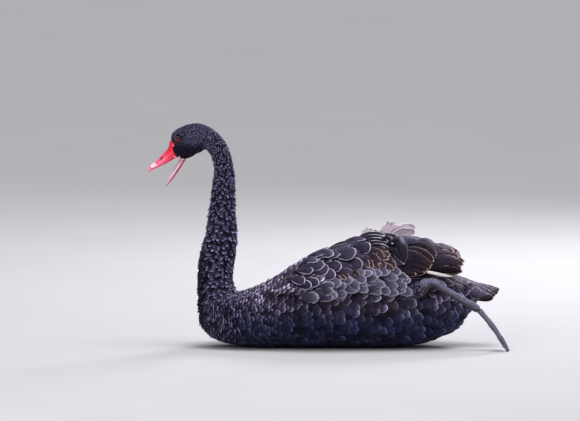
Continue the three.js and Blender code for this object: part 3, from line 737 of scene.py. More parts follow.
# Feathers: lens-shaped sheets whose two faces share their rim


def lensFaces(rows, columns):
    across = columns + 1
    lower = {}
    count = (rows + 1) * across
    for r in range(1, rows):
        for c in range(1, columns):
            lower[r * across + c] = count
            count += 1
    faces = []
    for r in range(rows):
        for c in range(columns):
            a = r * across + c
            quad = (a, a + 1, a + across + 1, a + across)
            faces.append(quad)
            faces.append(tuple(lower.get(i, i) for i in reversed(quad)))
    return faces, sorted(lower)


def alongStations(rows):
    return np.sin(np.linspace(0, 1, rows + 1) * math.pi / 2) ** 0.85


def vaneHalf(t, shape):
    widen = shape["root"] + (1 - shape["root"]) * np.sin(np.minimum(t / shape["fullAt"], 1) * math.pi / 2)
    close = np.clip((t - shape["roundFrom"]) / (1 - shape["roundFrom"]), 0, 1)
    return widen * np.sqrt(1 - close ** 2 * (1 - shape["tip"] ** 2))


# Model of a small feather, one unit long and wide, that Geometry Nodes set on the roots
def featherModel(name, shape, rows, columns):
    t = alongStations(rows)[:, None]
    c = np.linspace(-1, 1, columns + 1)[None]
    x = 0.5 * vaneHalf(t, shape) * c
    y = t - shape["draw"] * np.abs(c) ** 2 * t ** 3
    z = shape["cup"] * (1 - c ** 2) * np.minimum(1, 2.5 * t) - shape["droop"] * t ** 2 + 0 * c
    top = np.stack(np.broadcast_arrays(x, y, z), -1).reshape(-1, 3)
    faces, inner = lensFaces(rows, columns)
    points = np.vstack([top, top[inner] - [0, 0, shape["thick"]]])
    made = meshObject(name, points / millimetre, faces)
    uv = np.stack(np.broadcast_arrays((c + 1) / 2, t), -1).reshape(-1, 2)
    uv = np.vstack([uv, uv[inner]])
    setLoopMap(made.data, "Vane", uv)
    flat = np.stack(np.broadcast_arrays(x * 0.85, y), -1)
    edge = edgeReach(flat).ravel()
    setPointValues(made.data, "edge", np.concatenate([edge, edge[inner]]))
    return made


# Distance of each point of a feather's grid from its sides and tip
def edgeReach(grid):
    outline = np.vstack([grid[:, 0], grid[:, -1], grid[-1]])
    return np.linalg.norm(grid[..., None, :] - outline, axis=-1).min(-1)


def setLoopMap(mesh, name, perPoint):
    loops = np.zeros(len(mesh.loops), int)
    mesh.loops.foreach_get("vertex_index", loops)
    layer = mesh.uv_layers.new(name=name)
    layer.data.foreach_set("uv", np.asarray(perPoint)[loops].astype(np.float32).ravel())


# Geometry Nodes that set a feather on every root, turned to lie along the coat
def coatTree(name, models, material):
    tree = bpy.data.node_groups.new(name, "GeometryNodeTree")
    face = tree.interface
    face.new_socket("Geometry", in_out="INPUT", socket_type="NodeSocketGeometry")
    inputs = {"Width": 0.7, "Thickness": 1.0, "Lift": 0.2, "Lift spread": 0.1, "Turn spread": 0.1,
              "Size spread": 0.12, "Bake patch": 0.003}
    for label, value in inputs.items():
        socket = face.new_socket(label, in_out="INPUT", socket_type="NodeSocketFloat")
        socket.default_value = value
    seed = face.new_socket("Seed", in_out="INPUT", socket_type="NodeSocketInt")
    seed.default_value = 1
    face.new_socket("Geometry", in_out="OUTPUT", socket_type="NodeSocketGeometry")
    given = tree.nodes.new("NodeGroupInput").outputs
    result = tree.nodes.new("NodeGroupOutput")

    def named(label, kind):
        return putNode(tree, "GeometryNodeInputNamedAttribute", {"Name": label},
                       data_type=kind).outputs["Attribute"]

    def chance(kind, low, high, seed):
        node = putNode(tree, "FunctionNodeRandomValue", data_type=kind)
        ends = [s for s in node.inputs if s.enabled]
        ends[0].default_value, ends[1].default_value = low, high
        tree.links.new(seed, node.inputs["Seed"])
        return next(s for s in node.outputs if s.enabled)

    def spread(step):
        return chance("FLOAT", -1.0, 1.0, plus(tree, given["Seed"], float(step)))

    facing = putNode(tree, "FunctionNodeAxesToRotation",
                     {"Primary Axis": named("out", "FLOAT_VECTOR"),
                      "Secondary Axis": named("lie", "FLOAT_VECTOR")},
                     primary_axis="Z", secondary_axis="Y").outputs[0]
    tilt = calc(tree, "MULTIPLY_ADD", spread(1), given["Lift spread"])
    tree.links.new(given["Lift"], tilt.node.inputs[2])
    yaw = times(tree, spread(2), given["Turn spread"])
    extra = plus(tree, tilt, named("raise", "FLOAT"))
    bend = putNode(tree, "FunctionNodeEulerToRotation",
                   {0: putNode(tree, "ShaderNodeCombineXYZ", {0: extra, 2: yaw}).outputs[0]}).outputs[0]
    turned = putNode(tree, "FunctionNodeRotateRotation", {"Rotation": facing, "Rotate By": bend},
                     rotation_space="LOCAL").outputs[0]
    length = times(tree, named("size", "FLOAT"),
                   plus(tree, times(tree, spread(3), given["Size spread"]), 1.0))
    width = times(tree, length, given["Width"])
    deep = times(tree, length, given["Thickness"])
    scale = putNode(tree, "ShaderNodeCombineXYZ", {0: width, 1: length, 2: deep}).outputs[0]

    shelf = bpy.data.collections.new(name + "Models")
    scene.collection.children.link(shelf)
    for model in models:
        shelf.objects.link(model)
    choice = putNode(tree, "GeometryNodeCollectionInfo", {"Collection": shelf, "Separate Children": True,
                                                          "Reset Children": True}).outputs[0]
    picked = chance("INT", 0, len(models) - 1, given["Seed"])
    placed = putNode(tree, "GeometryNodeInstanceOnPoints",
                     {"Points": given["Geometry"], "Instance": choice, "Pick Instance": True,
                      "Instance Index": picked, "Rotation": turned, "Scale": scale}).outputs[0]
    real = putNode(tree, "GeometryNodeRealizeInstances", {"Geometry": placed}).outputs[0]
    middle = putNode(tree, "ShaderNodeVectorMath", {0: named("Vane", "FLOAT_VECTOR"),
                                                    1: (0.5, 0.5, 0)}, operation="SUBTRACT").outputs[0]
    patch = putNode(tree, "ShaderNodeVectorMath", {0: middle, "Scale": given["Bake patch"]},
                    operation="SCALE").outputs[0]
    bake = putNode(tree, "ShaderNodeVectorMath", {0: patch, 1: named("place", "FLOAT_VECTOR")},
                   operation="ADD").outputs[0]
    mapped = putNode(tree, "GeometryNodeStoreNamedAttribute",
                     {"Geometry": real, "Name": "OFBake", "Value": bake},
                     data_type="FLOAT2", domain="CORNER").outputs[0]
    finished = putNode(tree, "GeometryNodeSetMaterial", {"Geometry": mapped, "Material": material}).outputs[0]
    tree.links.new(finished, result.inputs[0])
    return tree, shelf


def emptyShelf(shelf):
    for model in list(shelf.objects):
        bpy.data.objects.remove(model)
    bpy.data.collections.remove(shelf)


def rootsObject(name, roots):
    mesh = bpy.data.meshes.new(name)
    mesh.from_pydata((roots["at"] * millimetre).tolist(), [], [])
    for label in ("out", "lie", "place"):
        layer = mesh.attributes.new(label, "FLOAT_VECTOR", "POINT")
        layer.data.foreach_set("vector", roots[label].astype(np.float32).ravel())
    for label, scale in (("size", millimetre), ("raise", 1), ("shade", 1)):
        layer = mesh.attributes.new(label, "FLOAT", "POINT")
        layer.data.foreach_set("value", (roots[label] * scale).astype(np.float32).ravel())
    made = bpy.data.objects.new(name, mesh)
    scene.collection.objects.link(made)
    return made


# Presses all that lies lower than low, also below the floor, to between half of low and low
def keepAboveFloor(made):
    co = np.zeros(len(made.data.vertices) * 3, np.float32)
    made.data.vertices.foreach_get("co", co)
    height, low = co[2::3], 0.0008
    pressed = low / 2 + low / 2 * np.exp(np.minimum(height / low - 1, 0))
    co[2::3] = np.where(height < low, pressed, height)
    made.data.vertices.foreach_set("co", co)


def growCoat(name, roots, plan, material):
    models = [featherModel(f"{name}Model{k}", shape, plan["rows"], plan["columns"])
              for k, shape in enumerate(plan["shapes"])]
    for model in models:
        scene.collection.objects.unlink(model)
    tree, shelf = coatTree(name + "Tree", models, material)
    made = rootsObject(name, roots)
    modifier = made.modifiers.new("coat", "NODES")
    modifier.node_group = tree
    identifiers = {s.name: s.identifier for s in tree.interface.items_tree if s.in_out == "INPUT"}
    for label, value in plan["inputs"].items():
        modifier[identifiers[label]] = value
    plainMesh(made, name)
    for label in ("out", "lie", "place", "size", "raise"):
        layer = made.data.attributes.get(label)
        if layer:
            made.data.attributes.remove(layer)
    emptyShelf(shelf)
    keepAboveFloor(made)
    made.data.shade_smooth()
    triangles = sum(len(p.vertices) - 2 for p in made.data.polygons)
    print(f"{name}: {len(roots['at'])} feathers, {triangles} triangles")
    return made


# Roots of the small feathers


class SkinFinder:
    def __init__(self, skin):
        mesh = skin.data
        points = [tuple(v.co / millimetre) for v in mesh.vertices]
        self.tree = BVHTree.FromPolygons(points, [tuple(p.vertices) for p in mesh.polygons])

    def nearest(self, points):
        spots, normals, gaps = [], [], []
        for point in points:
            spot, normal, _, gap = self.tree.find_nearest(Vector(point))
            spots.append(spot)
            normals.append(normal)
            gaps.append(gap)
        return np.array(spots), np.array(normals), np.array(gaps)


# Places on the unwrapped skin: a box of the map for each length of the body
mapPlan = {
    "neck": ((0.02, 0.02), (0.20, 0.98)),
    "trunk": ((0.22, 0.02), (0.60, 0.98)),
    "wingLeft": ((0.62, 0.02), (0.79, 0.80)),
    "wingRight": ((0.81, 0.02), (0.98, 0.80)),
    "tail": ((0.62, 0.82), (0.98, 0.98)),
}


def mapPlace(part, across, along):
    (lowU, lowV), (highU, highV) = mapPlan[part]
    across, along = np.broadcast_arrays(across, along)
    return np.stack([lowU + (highU - lowU) * across, lowV + (highV - lowV) * along, 0 * across], -1)


def finishRoots(finder, at, lie, size, place, plan, dice, shade=None, rise=0.0):
    spots, normals, gaps = finder.nearest(at)
    if shade is None:
        shade = dice.uniform(0, 1, len(at))
    raised = rise + plan["clump"] * dice.uniform(-1, 1, len(at))
    roots = {"at": spots, "out": normals, "lie": lie, "size": size, "place": place, "raise": raised,
             "shade": shade}
    keep = (gaps < plan["limit"]) & ~bareSkin(spots)
    roots = {key: value[keep] for key, value in roots.items()}
    lean = (roots["lie"] * roots["out"]).sum(-1, keepdims=True)
    roots["lie"] = unit(roots["lie"] - roots["out"] * lean)
    return roots


# Centre of the clump that a feather's tip falls in, on a staggered and shaken grid
def clumpCentre(along, across, step):
    best, reach = None, np.full(along.shape, 1e9)
    row = np.floor(along / step)
    for i in (-1, 0, 1):
        for j in (-1, 0, 1):
            cellRow = row + i
            column = np.floor(across / step - 0.5 * (cellRow % 2)) + j
            shake = np.sin(cellRow * 12.9898 + column * 78.233) * 437.5453
            aim = np.stack([(cellRow + 0.5 + 0.34 * np.sin(shake * 7.1)) * step,
                            (column + 0.5 * (cellRow % 2) + 0.5 + 0.34 * np.cos(shake * 5.3)) * step], -1)
            gap = np.hypot(aim[..., 0] - along, aim[..., 1] - across)
            best = aim if best is None else np.where((gap < reach)[..., None], aim, best)
            reach = np.minimum(gap, reach)
    return best, reach / step


def stepsBetween(low, high, stepAt):
    places = [low]
    while places[-1] < high:
        places.append(places[-1] + stepAt(places[-1]))
    return places[:-1]


# Middle line of the neck, and how far each place lies along it from the bill
neckPlaces = np.linspace(0, neckEnd, 800)
neckLine = neckAt(neckPlaces, 0) * 0.5 + neckAt(neckPlaces, math.pi) * 0.5
neckReach = np.concatenate([[0], np.cumsum(np.linalg.norm(np.diff(neckLine, axis=0), axis=1))])


# Rows of roots round the neck and head; sizes are given by the length from the bill
def neckRoots(finder, plan):
    dice = np.random.default_rng(plan["seed"])
    reach, size = zip(*plan["sizes"])
    rows = stepsBetween(plan["from"], plan["to"], lambda s: np.interp(s, reach, size) * plan["rowStep"])
    wheres, turns, sizes, girths = [], [], [], []
    for k, s in enumerate(rows):
        where = np.interp(s, neckReach, neckPlaces)
        ring = neckAt(where, np.linspace(0, 2 * math.pi, 49))
        girth = np.linalg.norm(np.diff(ring, axis=0), axis=1).sum()
        length = np.interp(s, reach, size)
        count = max(8, round(girth / (length * plan["columnStep"])))
        turn = (np.arange(count) + 0.5 * (k % 2) + dice.uniform(-0.22, 0.22, count)) / count * 2 * math.pi
        wheres.append(np.full(count, where) + dice.uniform(-0.02, 0.02, count))
        turns.append(turn)
        sizes.append(np.full(count, length))
        girths.append(np.full(count, girth))
    where, turn, size, girth = (np.concatenate(v) for v in (wheres, turns, sizes, girths))
    along = np.interp(where, neckPlaces, neckReach) + size * 0.8
    across = turn / (2 * math.pi) * girth
    reachAt, stepAt = zip(*plan["clumpSteps"])
    lengths = np.linspace(0, 460, 461)
    cells = np.cumsum(1 / np.interp(lengths, reachAt, stepAt))
    step = np.interp(along, reachAt, stepAt)
    centre, spread = clumpCentre(np.interp(along, lengths, cells), across / step, 1.0)
    pull = plan["clumpPull"]
    side = (centre[..., 1] - across / step) * step / size * pull
    close = np.clip(1 - spread / 0.62, 0, 1)
    at = neckAt(where, turn, -neckDepth(where)[:, None])
    ahead = neckAt(where + 0.05, turn, -neckDepth(where)[:, None])
    behind = neckAt(where - 0.05, turn, -neckDepth(where)[:, None])
    aroundNeck = unit(neckAt(where, turn + 0.02, 0) - neckAt(where, turn - 0.02, 0))
    lie = unit(ahead - behind) + aroundNeck * side[:, None]
    # Painted light and shade: a high shade at a clump's centre and a low one in the gaps between clumps,
    # mixed with random tone by clumpShade
    shade = np.clip(close * 1.1 * plan["clumpShade"] + (1 - plan["clumpShade"]) * dice.uniform(0, 1, len(at)),
                    0, 1)
    place = mapPlace("neck", (turn / (2 * math.pi)) % 1, where / neckEnd)
    return finishRoots(finder, at, lie, size, place, plan, dice, shade, plan["clumpLift"] * close)


# How far the trunk's surface runs for each millimetre along the bird, large at its blunt ends
def trunkSlant(x):
    turns = np.linspace(0, 2 * math.pi, 13)
    return float(np.linalg.norm(trunkPoint(x + 0.5, turns) - trunkPoint(x, turns), axis=1).mean() / 0.5)


# Rows of roots over the trunk, between two turns round it
def trunkRoots(finder, plan):
    dice = np.random.default_rng(plan["seed"])
    places, size = zip(*plan["sizes"])
    rows = stepsBetween(plan["from"], plan["to"],
                        lambda x: np.interp(x, places, size) * plan["rowStep"] / trunkSlant(x))
    low, high = (math.radians(turn) for turn in plan["turnsDeg"])
    xs, turns, sizes = [], [], []
    for k, x in enumerate(rows):
        ring = trunkPoint(x, np.linspace(low, high, 49))
        girth = np.linalg.norm(np.diff(ring, axis=0), axis=1)
        length = np.interp(x, places, size)
        count = max(4, round(girth.sum() / (length * plan["columnStep"])))
        share = (np.arange(count) + 0.5 * (k % 2) + dice.uniform(-0.18, 0.18, count)) / count
        run = np.concatenate([[0], np.cumsum(girth)])
        turns.append(np.interp(share * girth.sum(), run, np.linspace(low, high, 49)))
        xs.append(np.full(count, x) + dice.uniform(-0.12, 0.12, count) * length / trunkSlant(x))
        sizes.append(np.full(count, length))
    x, turn, size = (np.concatenate(v) for v in (xs, turns, sizes))
    at = trunkPoint(x, turn, -bodyPlan["coatDepth"]["trunk"])
    lie = np.zeros_like(at) + [1, 0, 0]
    lie[:, 2] -= plan["fall"] * np.clip(np.cos(turn) ** 2, 0, 1)
    place = mapPlace("trunk", (turn / (2 * math.pi)) % 1, (x - trunkStart) / trunkLength)
    tips = at + lie * (size * 0.75)[:, None]
    clear = np.ones(len(at), bool)
    for leg in legPlan.values():
        line = limbAlong(leg["shank"])(np.linspace(1.2, 3, 12), 0) * 0.5
        line += limbAlong(leg["shank"])(np.linspace(1.2, 3, 12), math.pi) * 0.5
        radii = np.interp(np.linspace(1.2, 3, 12), range(4), [row[3] for row in leg["shank"]])
        gap = np.linalg.norm(tips[:, None] - line[None], axis=-1) - radii
        clear &= gap.min(1) > 2
    at, lie, size, place = at[clear], lie[clear], size[clear], place[clear]
    return finishRoots(finder, at, lie, size, place, plan, dice)


def wingRoots(finder, side, plan):
    dice = np.random.default_rng(plan["seed"])
    places, size = zip(*plan["sizes"])
    rows = stepsBetween(plan["from"], plan["to"], lambda x: np.interp(x, places, size) * plan["rowStep"])
    xs, shares, sizes = [], [], []
    for k, x in enumerate(rows):
        length = np.interp(x, places, size)
        count = max(3, round(np.interp(x, girthPlaces, girthTable) / (length * plan["columnStep"])))
        shares.append((np.arange(count) + 0.5 * (k % 2) + dice.uniform(-0.15, 0.15, count)) / count)
        xs.append(np.full(count, x) + dice.uniform(-0.1, 0.1, count) * length)
        sizes.append(np.full(count, length))
    x, share, size = (np.concatenate(v) for v in (xs, shares, sizes))
    at = wingPoint(side, x, share, -bodyPlan["coatDepth"]["wing"])
    fall = plan["fall"]
    lie = wingPoint(side, x + 4, share - fall, 0) - wingPoint(side, x - 4, share + fall, 0)
    part = "wingLeft" if side < 0 else "wingRight"
    place = mapPlace(part, np.clip(share, 0, 1), (x - wingStart) / wingLength)
    return finishRoots(finder, at, lie, size, place, plan, dice)


# Bill, mouth and eyes


def hornMaterial(name):
    material, tree, shader = newMaterial(name, Roughness=0.3)
    shader.inputs["Coat Weight"].default_value = 0.35
    shader.inputs["Coat Roughness"].default_value = 0.22
    shader.inputs["Subsurface Weight"].default_value = 0.08
    shader.inputs["Subsurface Scale"].default_value = 0.004
    return material, tree, shader


def readPlace(tree, label):
    return putNode(tree, "ShaderNodeAttribute", attribute_name=label).outputs["Fac"]


upperBillLook = {
    "red": (0.95, 0.005, 0.055, 1),
    "deep": (0.66, 0.003, 0.030, 1),
    "pink": (0.98, 0.24, 0.46, 1),
    "pale": (0.92, 0.66, 0.76, 1),
    "nail": (0.86, 0.52, 0.58, 1),
    "barAt": (48.5, 57.5),
    "nailFrom": 61.5,
    "nostrilAt": (-323.0, 377.8),
    "nostrilTiltDeg": 37,
}


def upperBillMaterial():
    look = upperBillLook
    material, tree, shader = hornMaterial("redBill")
    along, share = readPlace(tree, "along"), readPlace(tree, "rise")
    place = placeOn(tree)
    mottle = noiseOn(tree, place, 120.0, 4.0)
    fine = noiseOn(tree, place, 700.0, 3.0)
    tone = mixColour(tree, easeBetween(tree, mottle, 0.42, 0.72), look["red"], look["deep"])
    wobble = times(tree, minus(tree, mottle, 0.5), 9.0)
    run = plus(tree, along, wobble)
    paler = times(tree, easeBetween(tree, run, 8.0, 40.0), 0.42)
    tone = mixColour(tree, paler, tone, look["pink"])
    # Painted highlight: a pink line along the culmen
    ridge = times(tree, easeBetween(tree, share, 0.86, 1.0), 0.5)
    tone = mixColour(tree, times(tree, ridge, easeBetween(tree, along, -2.0, 12.0)), tone,
                     look["pink"])
    lip = easeBetween(tree, share, 0.16, 0.06)
    tone = mixColour(tree, times(tree, lip, 0.75), tone, (0.62, 0.012, 0.06, 1))
    # Painted shade: a dark patch over the nostril's hollow
    x, _, z = putNode(tree, "ShaderNodeSeparateXYZ", {0: place}).outputs[:3]
    tilt = math.radians(look["nostrilTiltDeg"])
    ahead = minus(tree, x, look["nostrilAt"][0] * millimetre)
    above = minus(tree, z, look["nostrilAt"][1] * millimetre)
    a = plus(tree, times(tree, ahead, math.cos(tilt)), times(tree, above, math.sin(tilt)))
    h = minus(tree, times(tree, above, math.cos(tilt)), times(tree, ahead, math.sin(tilt)))
    a = calc(tree, "POWER", calc(tree, "DIVIDE", a, 4.6 * millimetre), 2.0)
    h = calc(tree, "POWER", calc(tree, "DIVIDE", h, 2.1 * millimetre), 2.0)
    tone = mixColour(tree, times(tree, easeBetween(tree, plus(tree, a, h), 1.5, 0.2), 0.8), tone,
                     (0.10, 0.004, 0.012, 1))
    first, last = look["barAt"]
    bar = times(tree, easeBetween(tree, run, first - 2.5, first + 0.5),
                easeBetween(tree, run, last + 2, last - 0.5))
    bar = times(tree, bar, easeBetween(tree, share, 0.22, 0.42))
    tone = mixColour(tree, bar, tone, look["pale"])
    nail = easeBetween(tree, run, look["nailFrom"] - 1.5, look["nailFrom"] + 2.5)
    nail = times(tree, nail, easeBetween(tree, share, 0.12, 0.3))
    tone = mixColour(tree, nail, tone, look["nail"])
    paint(tree, shader, tone)
    gloss = plus(tree, times(tree, mottle, 0.2), 0.22)
    tree.links.new(gloss, shader.inputs["Roughness"])
    grain = plus(tree, times(tree, fine, 0.4), mottle)
    addBump(tree, shader, grain, 0.22, 0.0006)
    return material


def lowerBillMaterial():
    material, tree, shader = hornMaterial("redLowerBill")
    share, along = readPlace(tree, "rise"), readPlace(tree, "along")
    place = placeOn(tree)
    mottle = noiseOn(tree, place, 150.0, 4.0)
    tone = mixColour(tree, mottle, (0.66, 0.006, 0.055, 1), (0.42, 0.004, 0.05, 1))
    inside = easeBetween(tree, plus(tree, share, times(tree, mottle, 0.12)), 0.56, 0.44)
    pink = mixColour(tree, mottle, (0.95, 0.62, 0.74, 1), (0.98, 0.84, 0.92, 1))
    tone = mixColour(tree, inside, tone, pink)
    tip = easeBetween(tree, along, 52.0, 57.0)
    tone = mixColour(tree, tip, tone, (0.78, 0.42, 0.46, 1))
    paint(tree, shader, tone)
    addBump(tree, shader, mottle, 0.2, 0.0005)
    return material


def mouthMaterial(name, light, dark):
    material, tree, shader = newMaterial(name, Roughness=0.32)
    shader.inputs["Subsurface Weight"].default_value = 0.15
    shader.inputs["Subsurface Scale"].default_value = 0.003
    shader.inputs["Coat Weight"].default_value = 0.4
    place = placeOn(tree)
    folds = noiseOn(tree, place, 240.0, 4.0)
    tone = mixColour(tree, easeBetween(tree, folds, 0.35, 0.7), light, dark)
    paint(tree, shader, tone)
    addBump(tree, shader, folds, 0.5, 0.0008)
    return material


def setPointValues(mesh, label, values):
    layer = mesh.attributes.new(label, "FLOAT", "POINT")
    layer.data.foreach_set("value", np.asarray(values, np.float32).ravel())


# Outer arch of a bill half from edge to edge, then its lips and hollowed inner face
billGrid = {"arch": 28, "inner": 12, "archPower": 0.8, "lip": 0.7}


def billRings(bill, isUpper, stations):
    table = throughRows(bill["rows"])(stations)
    rings, rises = [], []
    away = 1 if isUpper else -1
    for along, (_, top, under, half) in zip(stations, table):
        outer, edge = (top, under) if isUpper else (under, top)
        angle = np.linspace(0, math.pi, billGrid["arch"] + 1)
        rise = np.sin(angle) ** billGrid["archPower"]
        across, height = np.cos(angle) * half, edge + (outer - edge) * rise
        lip = billGrid["lip"] * min(1, half / 6)
        c = np.linspace(-1, 1, billGrid["inner"] + 2)[1:-1]
        hollow = bill["hollow"] * (1 - c ** 2) ** 0.7 * (half / 13)
        ridge = 0.5 * np.exp(-(c / 0.2) ** 2) * (half / 13)
        inner = edge + away * (hollow - ridge) - away * lip * np.clip((np.abs(c) - 0.8) / 0.2, 0, 1)
        rings.append(np.vstack([billPoint(bill, along, across, height),
                                billPoint(bill, along, c * half * 0.93, inner)]))
        rises.append(np.concatenate([rise, -0.3 + 0 * c]))
    return np.array(rings), np.array(rises)


def billPiece(name, bill, isUpper, material):
    rows = np.array(bill["rows"])[:, 0]
    steps = np.linspace(0, 1, 64)
    stations = rows[0] + (rows[-1] - rows[0]) * (1 - (1 - steps) ** 1.25)
    rings, rises = billRings(bill, isUpper, stations)
    if isUpper:
        rings = carveNostrils(rings)
    made = ringObject(name, rings, material)
    alongs = np.broadcast_to(stations[:, None], rises.shape)
    for label, values, ends in (("along", alongs, stations[[0, -1]]), ("rise", rises, (0.3, 0.3))):
        setPointValues(made.data, label, np.concatenate([values.ravel(), ends]))
    return made


def carveNostrils(rings):
    plan = upperBill["nostril"]
    along, height = billPlace(upperBill, rings)
    tilt = math.radians(plan["tiltDeg"])
    a, h = along - plan["along"], height - plan["height"]
    a, h = a * math.cos(tilt) + h * math.sin(tilt), h * math.cos(tilt) - a * math.sin(tilt)
    reach = np.hypot(a / plan["size"][0], h / plan["size"][1])
    outer = np.arange(rings.shape[1]) <= billGrid["arch"]
    depth = plan["deep"] * np.clip(1.25 - reach, 0, 1) ** 0.6 * outer
    rim = 0.35 * np.exp(-((reach - 1.45) / 0.25) ** 2) * outer
    rings[..., 1] -= np.sign(rings[..., 1]) * (depth - rim)
    return rings


tonguePlan = {
    "rows": [  # distance along the lower bill, top height, underside height, half width
        [-2, 4.6, 1.2, 5], [7, 5.4, 1.1, 7], [22, 5.6, 1, 7.4], [36, 5.3, 1.1, 6.8], [47, 5, 1.6, 5.4],
        [53, 3.4, 1.9, 2.6],
    ],
    "bumps": 17,
}


def makeTongue(material):
    stations = np.linspace(-2, 53, 46)
    table = throughRows(tonguePlan["rows"])(stations)
    turn = turnsRound(24)
    rings = []
    for along, (_, top, under, half) in zip(stations, table):
        bumps = 0.25 * math.sin(along / 55 * tonguePlan["bumps"] * 2 * math.pi)
        groove = 0.9 * np.exp(-(np.cos(turn) / 0.25) ** 2) * (np.sin(turn) > 0)
        height = under + (top - under) * (1 + np.sin(turn)) / 2 - groove
        fringe = np.exp(-(np.sin(turn) / 0.3) ** 2)
        rings.append(billPoint(lowerBill, along, np.cos(turn) * (half + bumps * fringe), height))
    return ringObject("tongue_surface", np.array(rings), material)


# Round strand through points, with a radius at each
def strandRings(points, radii, sides=10, rows=24, flat=1.0):
    points = np.array(points, float)
    where = np.linspace(0, len(points) - 1, rows)
    line = curveThrough(points)(where)
    size = np.interp(where, np.arange(len(radii)), radii)[:, None]
    forward = unit(np.gradient(line, axis=0))
    across = unit(np.cross(forward, np.array([0, 1.0, 0])) + 1e-6)
    up = np.cross(across, forward)
    turn = turnsRound(sides)
    return (line[:, None] + (across * size)[:, None] * np.cos(turn)[None, :, None]
            + (up * size * flat)[:, None] * np.sin(turn)[None, :, None])


def joinRings(name, parts, material):
    parts = [(ringPoints(rings), ringFaces(*rings.shape[:2])) for rings in parts]
    return meshObject(name, *joinParts(parts, outward=True), material)


def signedVolume(points, faces):
    total = 0.0
    middle = points.mean(0)
    for face in faces:
        corners = points[list(face)] - middle
        for k in range(1, len(face) - 1):
            total += float(np.dot(corners[0], np.cross(corners[k], corners[k + 1])))
    return total


gapePlan = {
    "line": [(-299.5, 12.9, 383.6), (-296, 13.4, 381.2), (-290, 14.2, 379.2), (-284.2, 13.8, 376.8),
             (-281.4, 12.2, 372.6), (-282.2, 10.6, 367.5)],
    "radii": [0.7, 1.0, 1.15, 1.5, 1.5, 0.9],
}


def makeGape(material):
    parts = [strandRings([(x, y * side, z) for x, y, z in gapePlan["line"]], gapePlan["radii"], rows=30,
                         flat=1.2) for side in (-1, 1)]
    lining = []
    upper = np.array([(-301.5, 384.5), (-294, 384.6), (-287.5, 380.6), (-285.5, 374.6), (-287.5, 367.5),
                      (-292, 361.5)])
    path = curveThrough(np.stack([upper[:, 0], 0 * upper[:, 0], upper[:, 1]], -1))(np.linspace(0, 5, 26))
    for x, _, z in path:
        c = np.linspace(-1, 1, 15)
        half = 12.2 if z > 372 else 12.2 - 0.25 * (372 - z)
        sag = 1.2 * (1 - c ** 2) + 0.25 * np.sin(c * 19) * (1 - c ** 2)
        front = np.stack([x + sag, c * half, z + 0.4 * sag], -1)
        back = np.stack([x + sag + 1.4, c[::-1] * half, z + 0.4 * sag + 0.8], -1)
        lining.append(np.vstack([front, back]))
    return joinRings("mouth_skin", [*parts, np.array(lining)], material)


def makeLore(finder, material):
    (x0, z0), (x1, z1) = eyePlan["lore"]
    parts = []
    for side in (-1, 1):
        share = np.linspace(0, 1, 9)
        guess = np.stack([x0 + share * (x1 - x0), side * (9 + 7 * share), z0 + share * (z1 - z0)], -1)
        spots, normals, _ = finder.nearest(guess)
        parts.append(strandRings(spots + normals * 0.5, [0.5, 1.0, 1.1, 1.15, 1.2, 1.2, 1.1, 1.0, 0.5],
                                 rows=26, flat=0.8))
    return joinRings("lore_skin", parts, material)


lidPlan = {
    "reach": (5.6, 3.5),
    "proud": 4.0,
    "curve": 0.045,
    "tube": 0.75,
}


# Lids: a closed almond ridge bowed over the eyeball
def lidRings(side):
    tilt = math.radians(eyePlan["tiltDeg"])
    turn = np.linspace(0, 2 * math.pi, 49)
    along = np.cos(turn) * lidPlan["reach"][0]
    rise = np.sign(np.sin(turn)) * np.abs(np.sin(turn)) ** 1.25 * lidPlan["reach"][1]
    out = lidPlan["proud"] - lidPlan["curve"] * (along ** 2 + rise ** 2)
    x = along * math.cos(tilt) - rise * math.sin(tilt)
    z = along * math.sin(tilt) + rise * math.cos(tilt)
    centre = np.array(eyePlan["centre"]) * [1, side, 1]
    line = centre + np.stack([x, side * (out + 1.0), z], -1)
    outward = unit(np.stack([x, 0 * x, z], -1))
    depth = np.array([0, side, 0.0])
    ring = turnsRound(10)
    size = lidPlan["tube"] * (0.72 + 0.28 * np.abs(np.sin(turn)))[:, None, None]
    return (line[:, None] + outward[:, None] * np.cos(ring)[None, :, None] * size
            + depth * np.sin(ring)[None, :, None] * size * 1.3)


def loopObject(name, parts, material):
    loops = []
    for rings in parts:
        rows, sides = len(rings) - 1, rings.shape[1]
        made = [(r * sides + s, r * sides + (s + 1) % sides, ((r + 1) % rows) * sides + (s + 1) % sides,
                 ((r + 1) % rows) * sides + s) for r in range(rows) for s in range(sides)]
        loops.append((rings[:-1].reshape(-1, 3), made))
    return meshObject(name, *joinParts(loops, outward=True), material)


def lidMaterial():
    material, tree, shader = newMaterial("lidSkin", Roughness=0.4)
    place = placeOn(tree)
    x, _, z = putNode(tree, "ShaderNodeSeparateXYZ", {0: place}).outputs[:3]
    centre = eyePlan["centre"]
    slope = minus(tree, minus(tree, z, centre[2] * millimetre),
                  times(tree, minus(tree, x, centre[0] * millimetre), -0.25))
    upper = easeBetween(tree, slope, -0.0018, 0.0006)
    folds = noiseOn(tree, place, 900.0, 3.0)
    red = mixColour(tree, folds, (0.75, 0.012, 0.04, 1), (0.45, 0.008, 0.02, 1))
    pink = mixColour(tree, folds, (0.12, 0.08, 0.10, 1), (0.05, 0.035, 0.05, 1))
    paint(tree, shader, mixColour(tree, upper, red, pink))
    addBump(tree, shader, folds, 0.5, 0.0004)
    return material


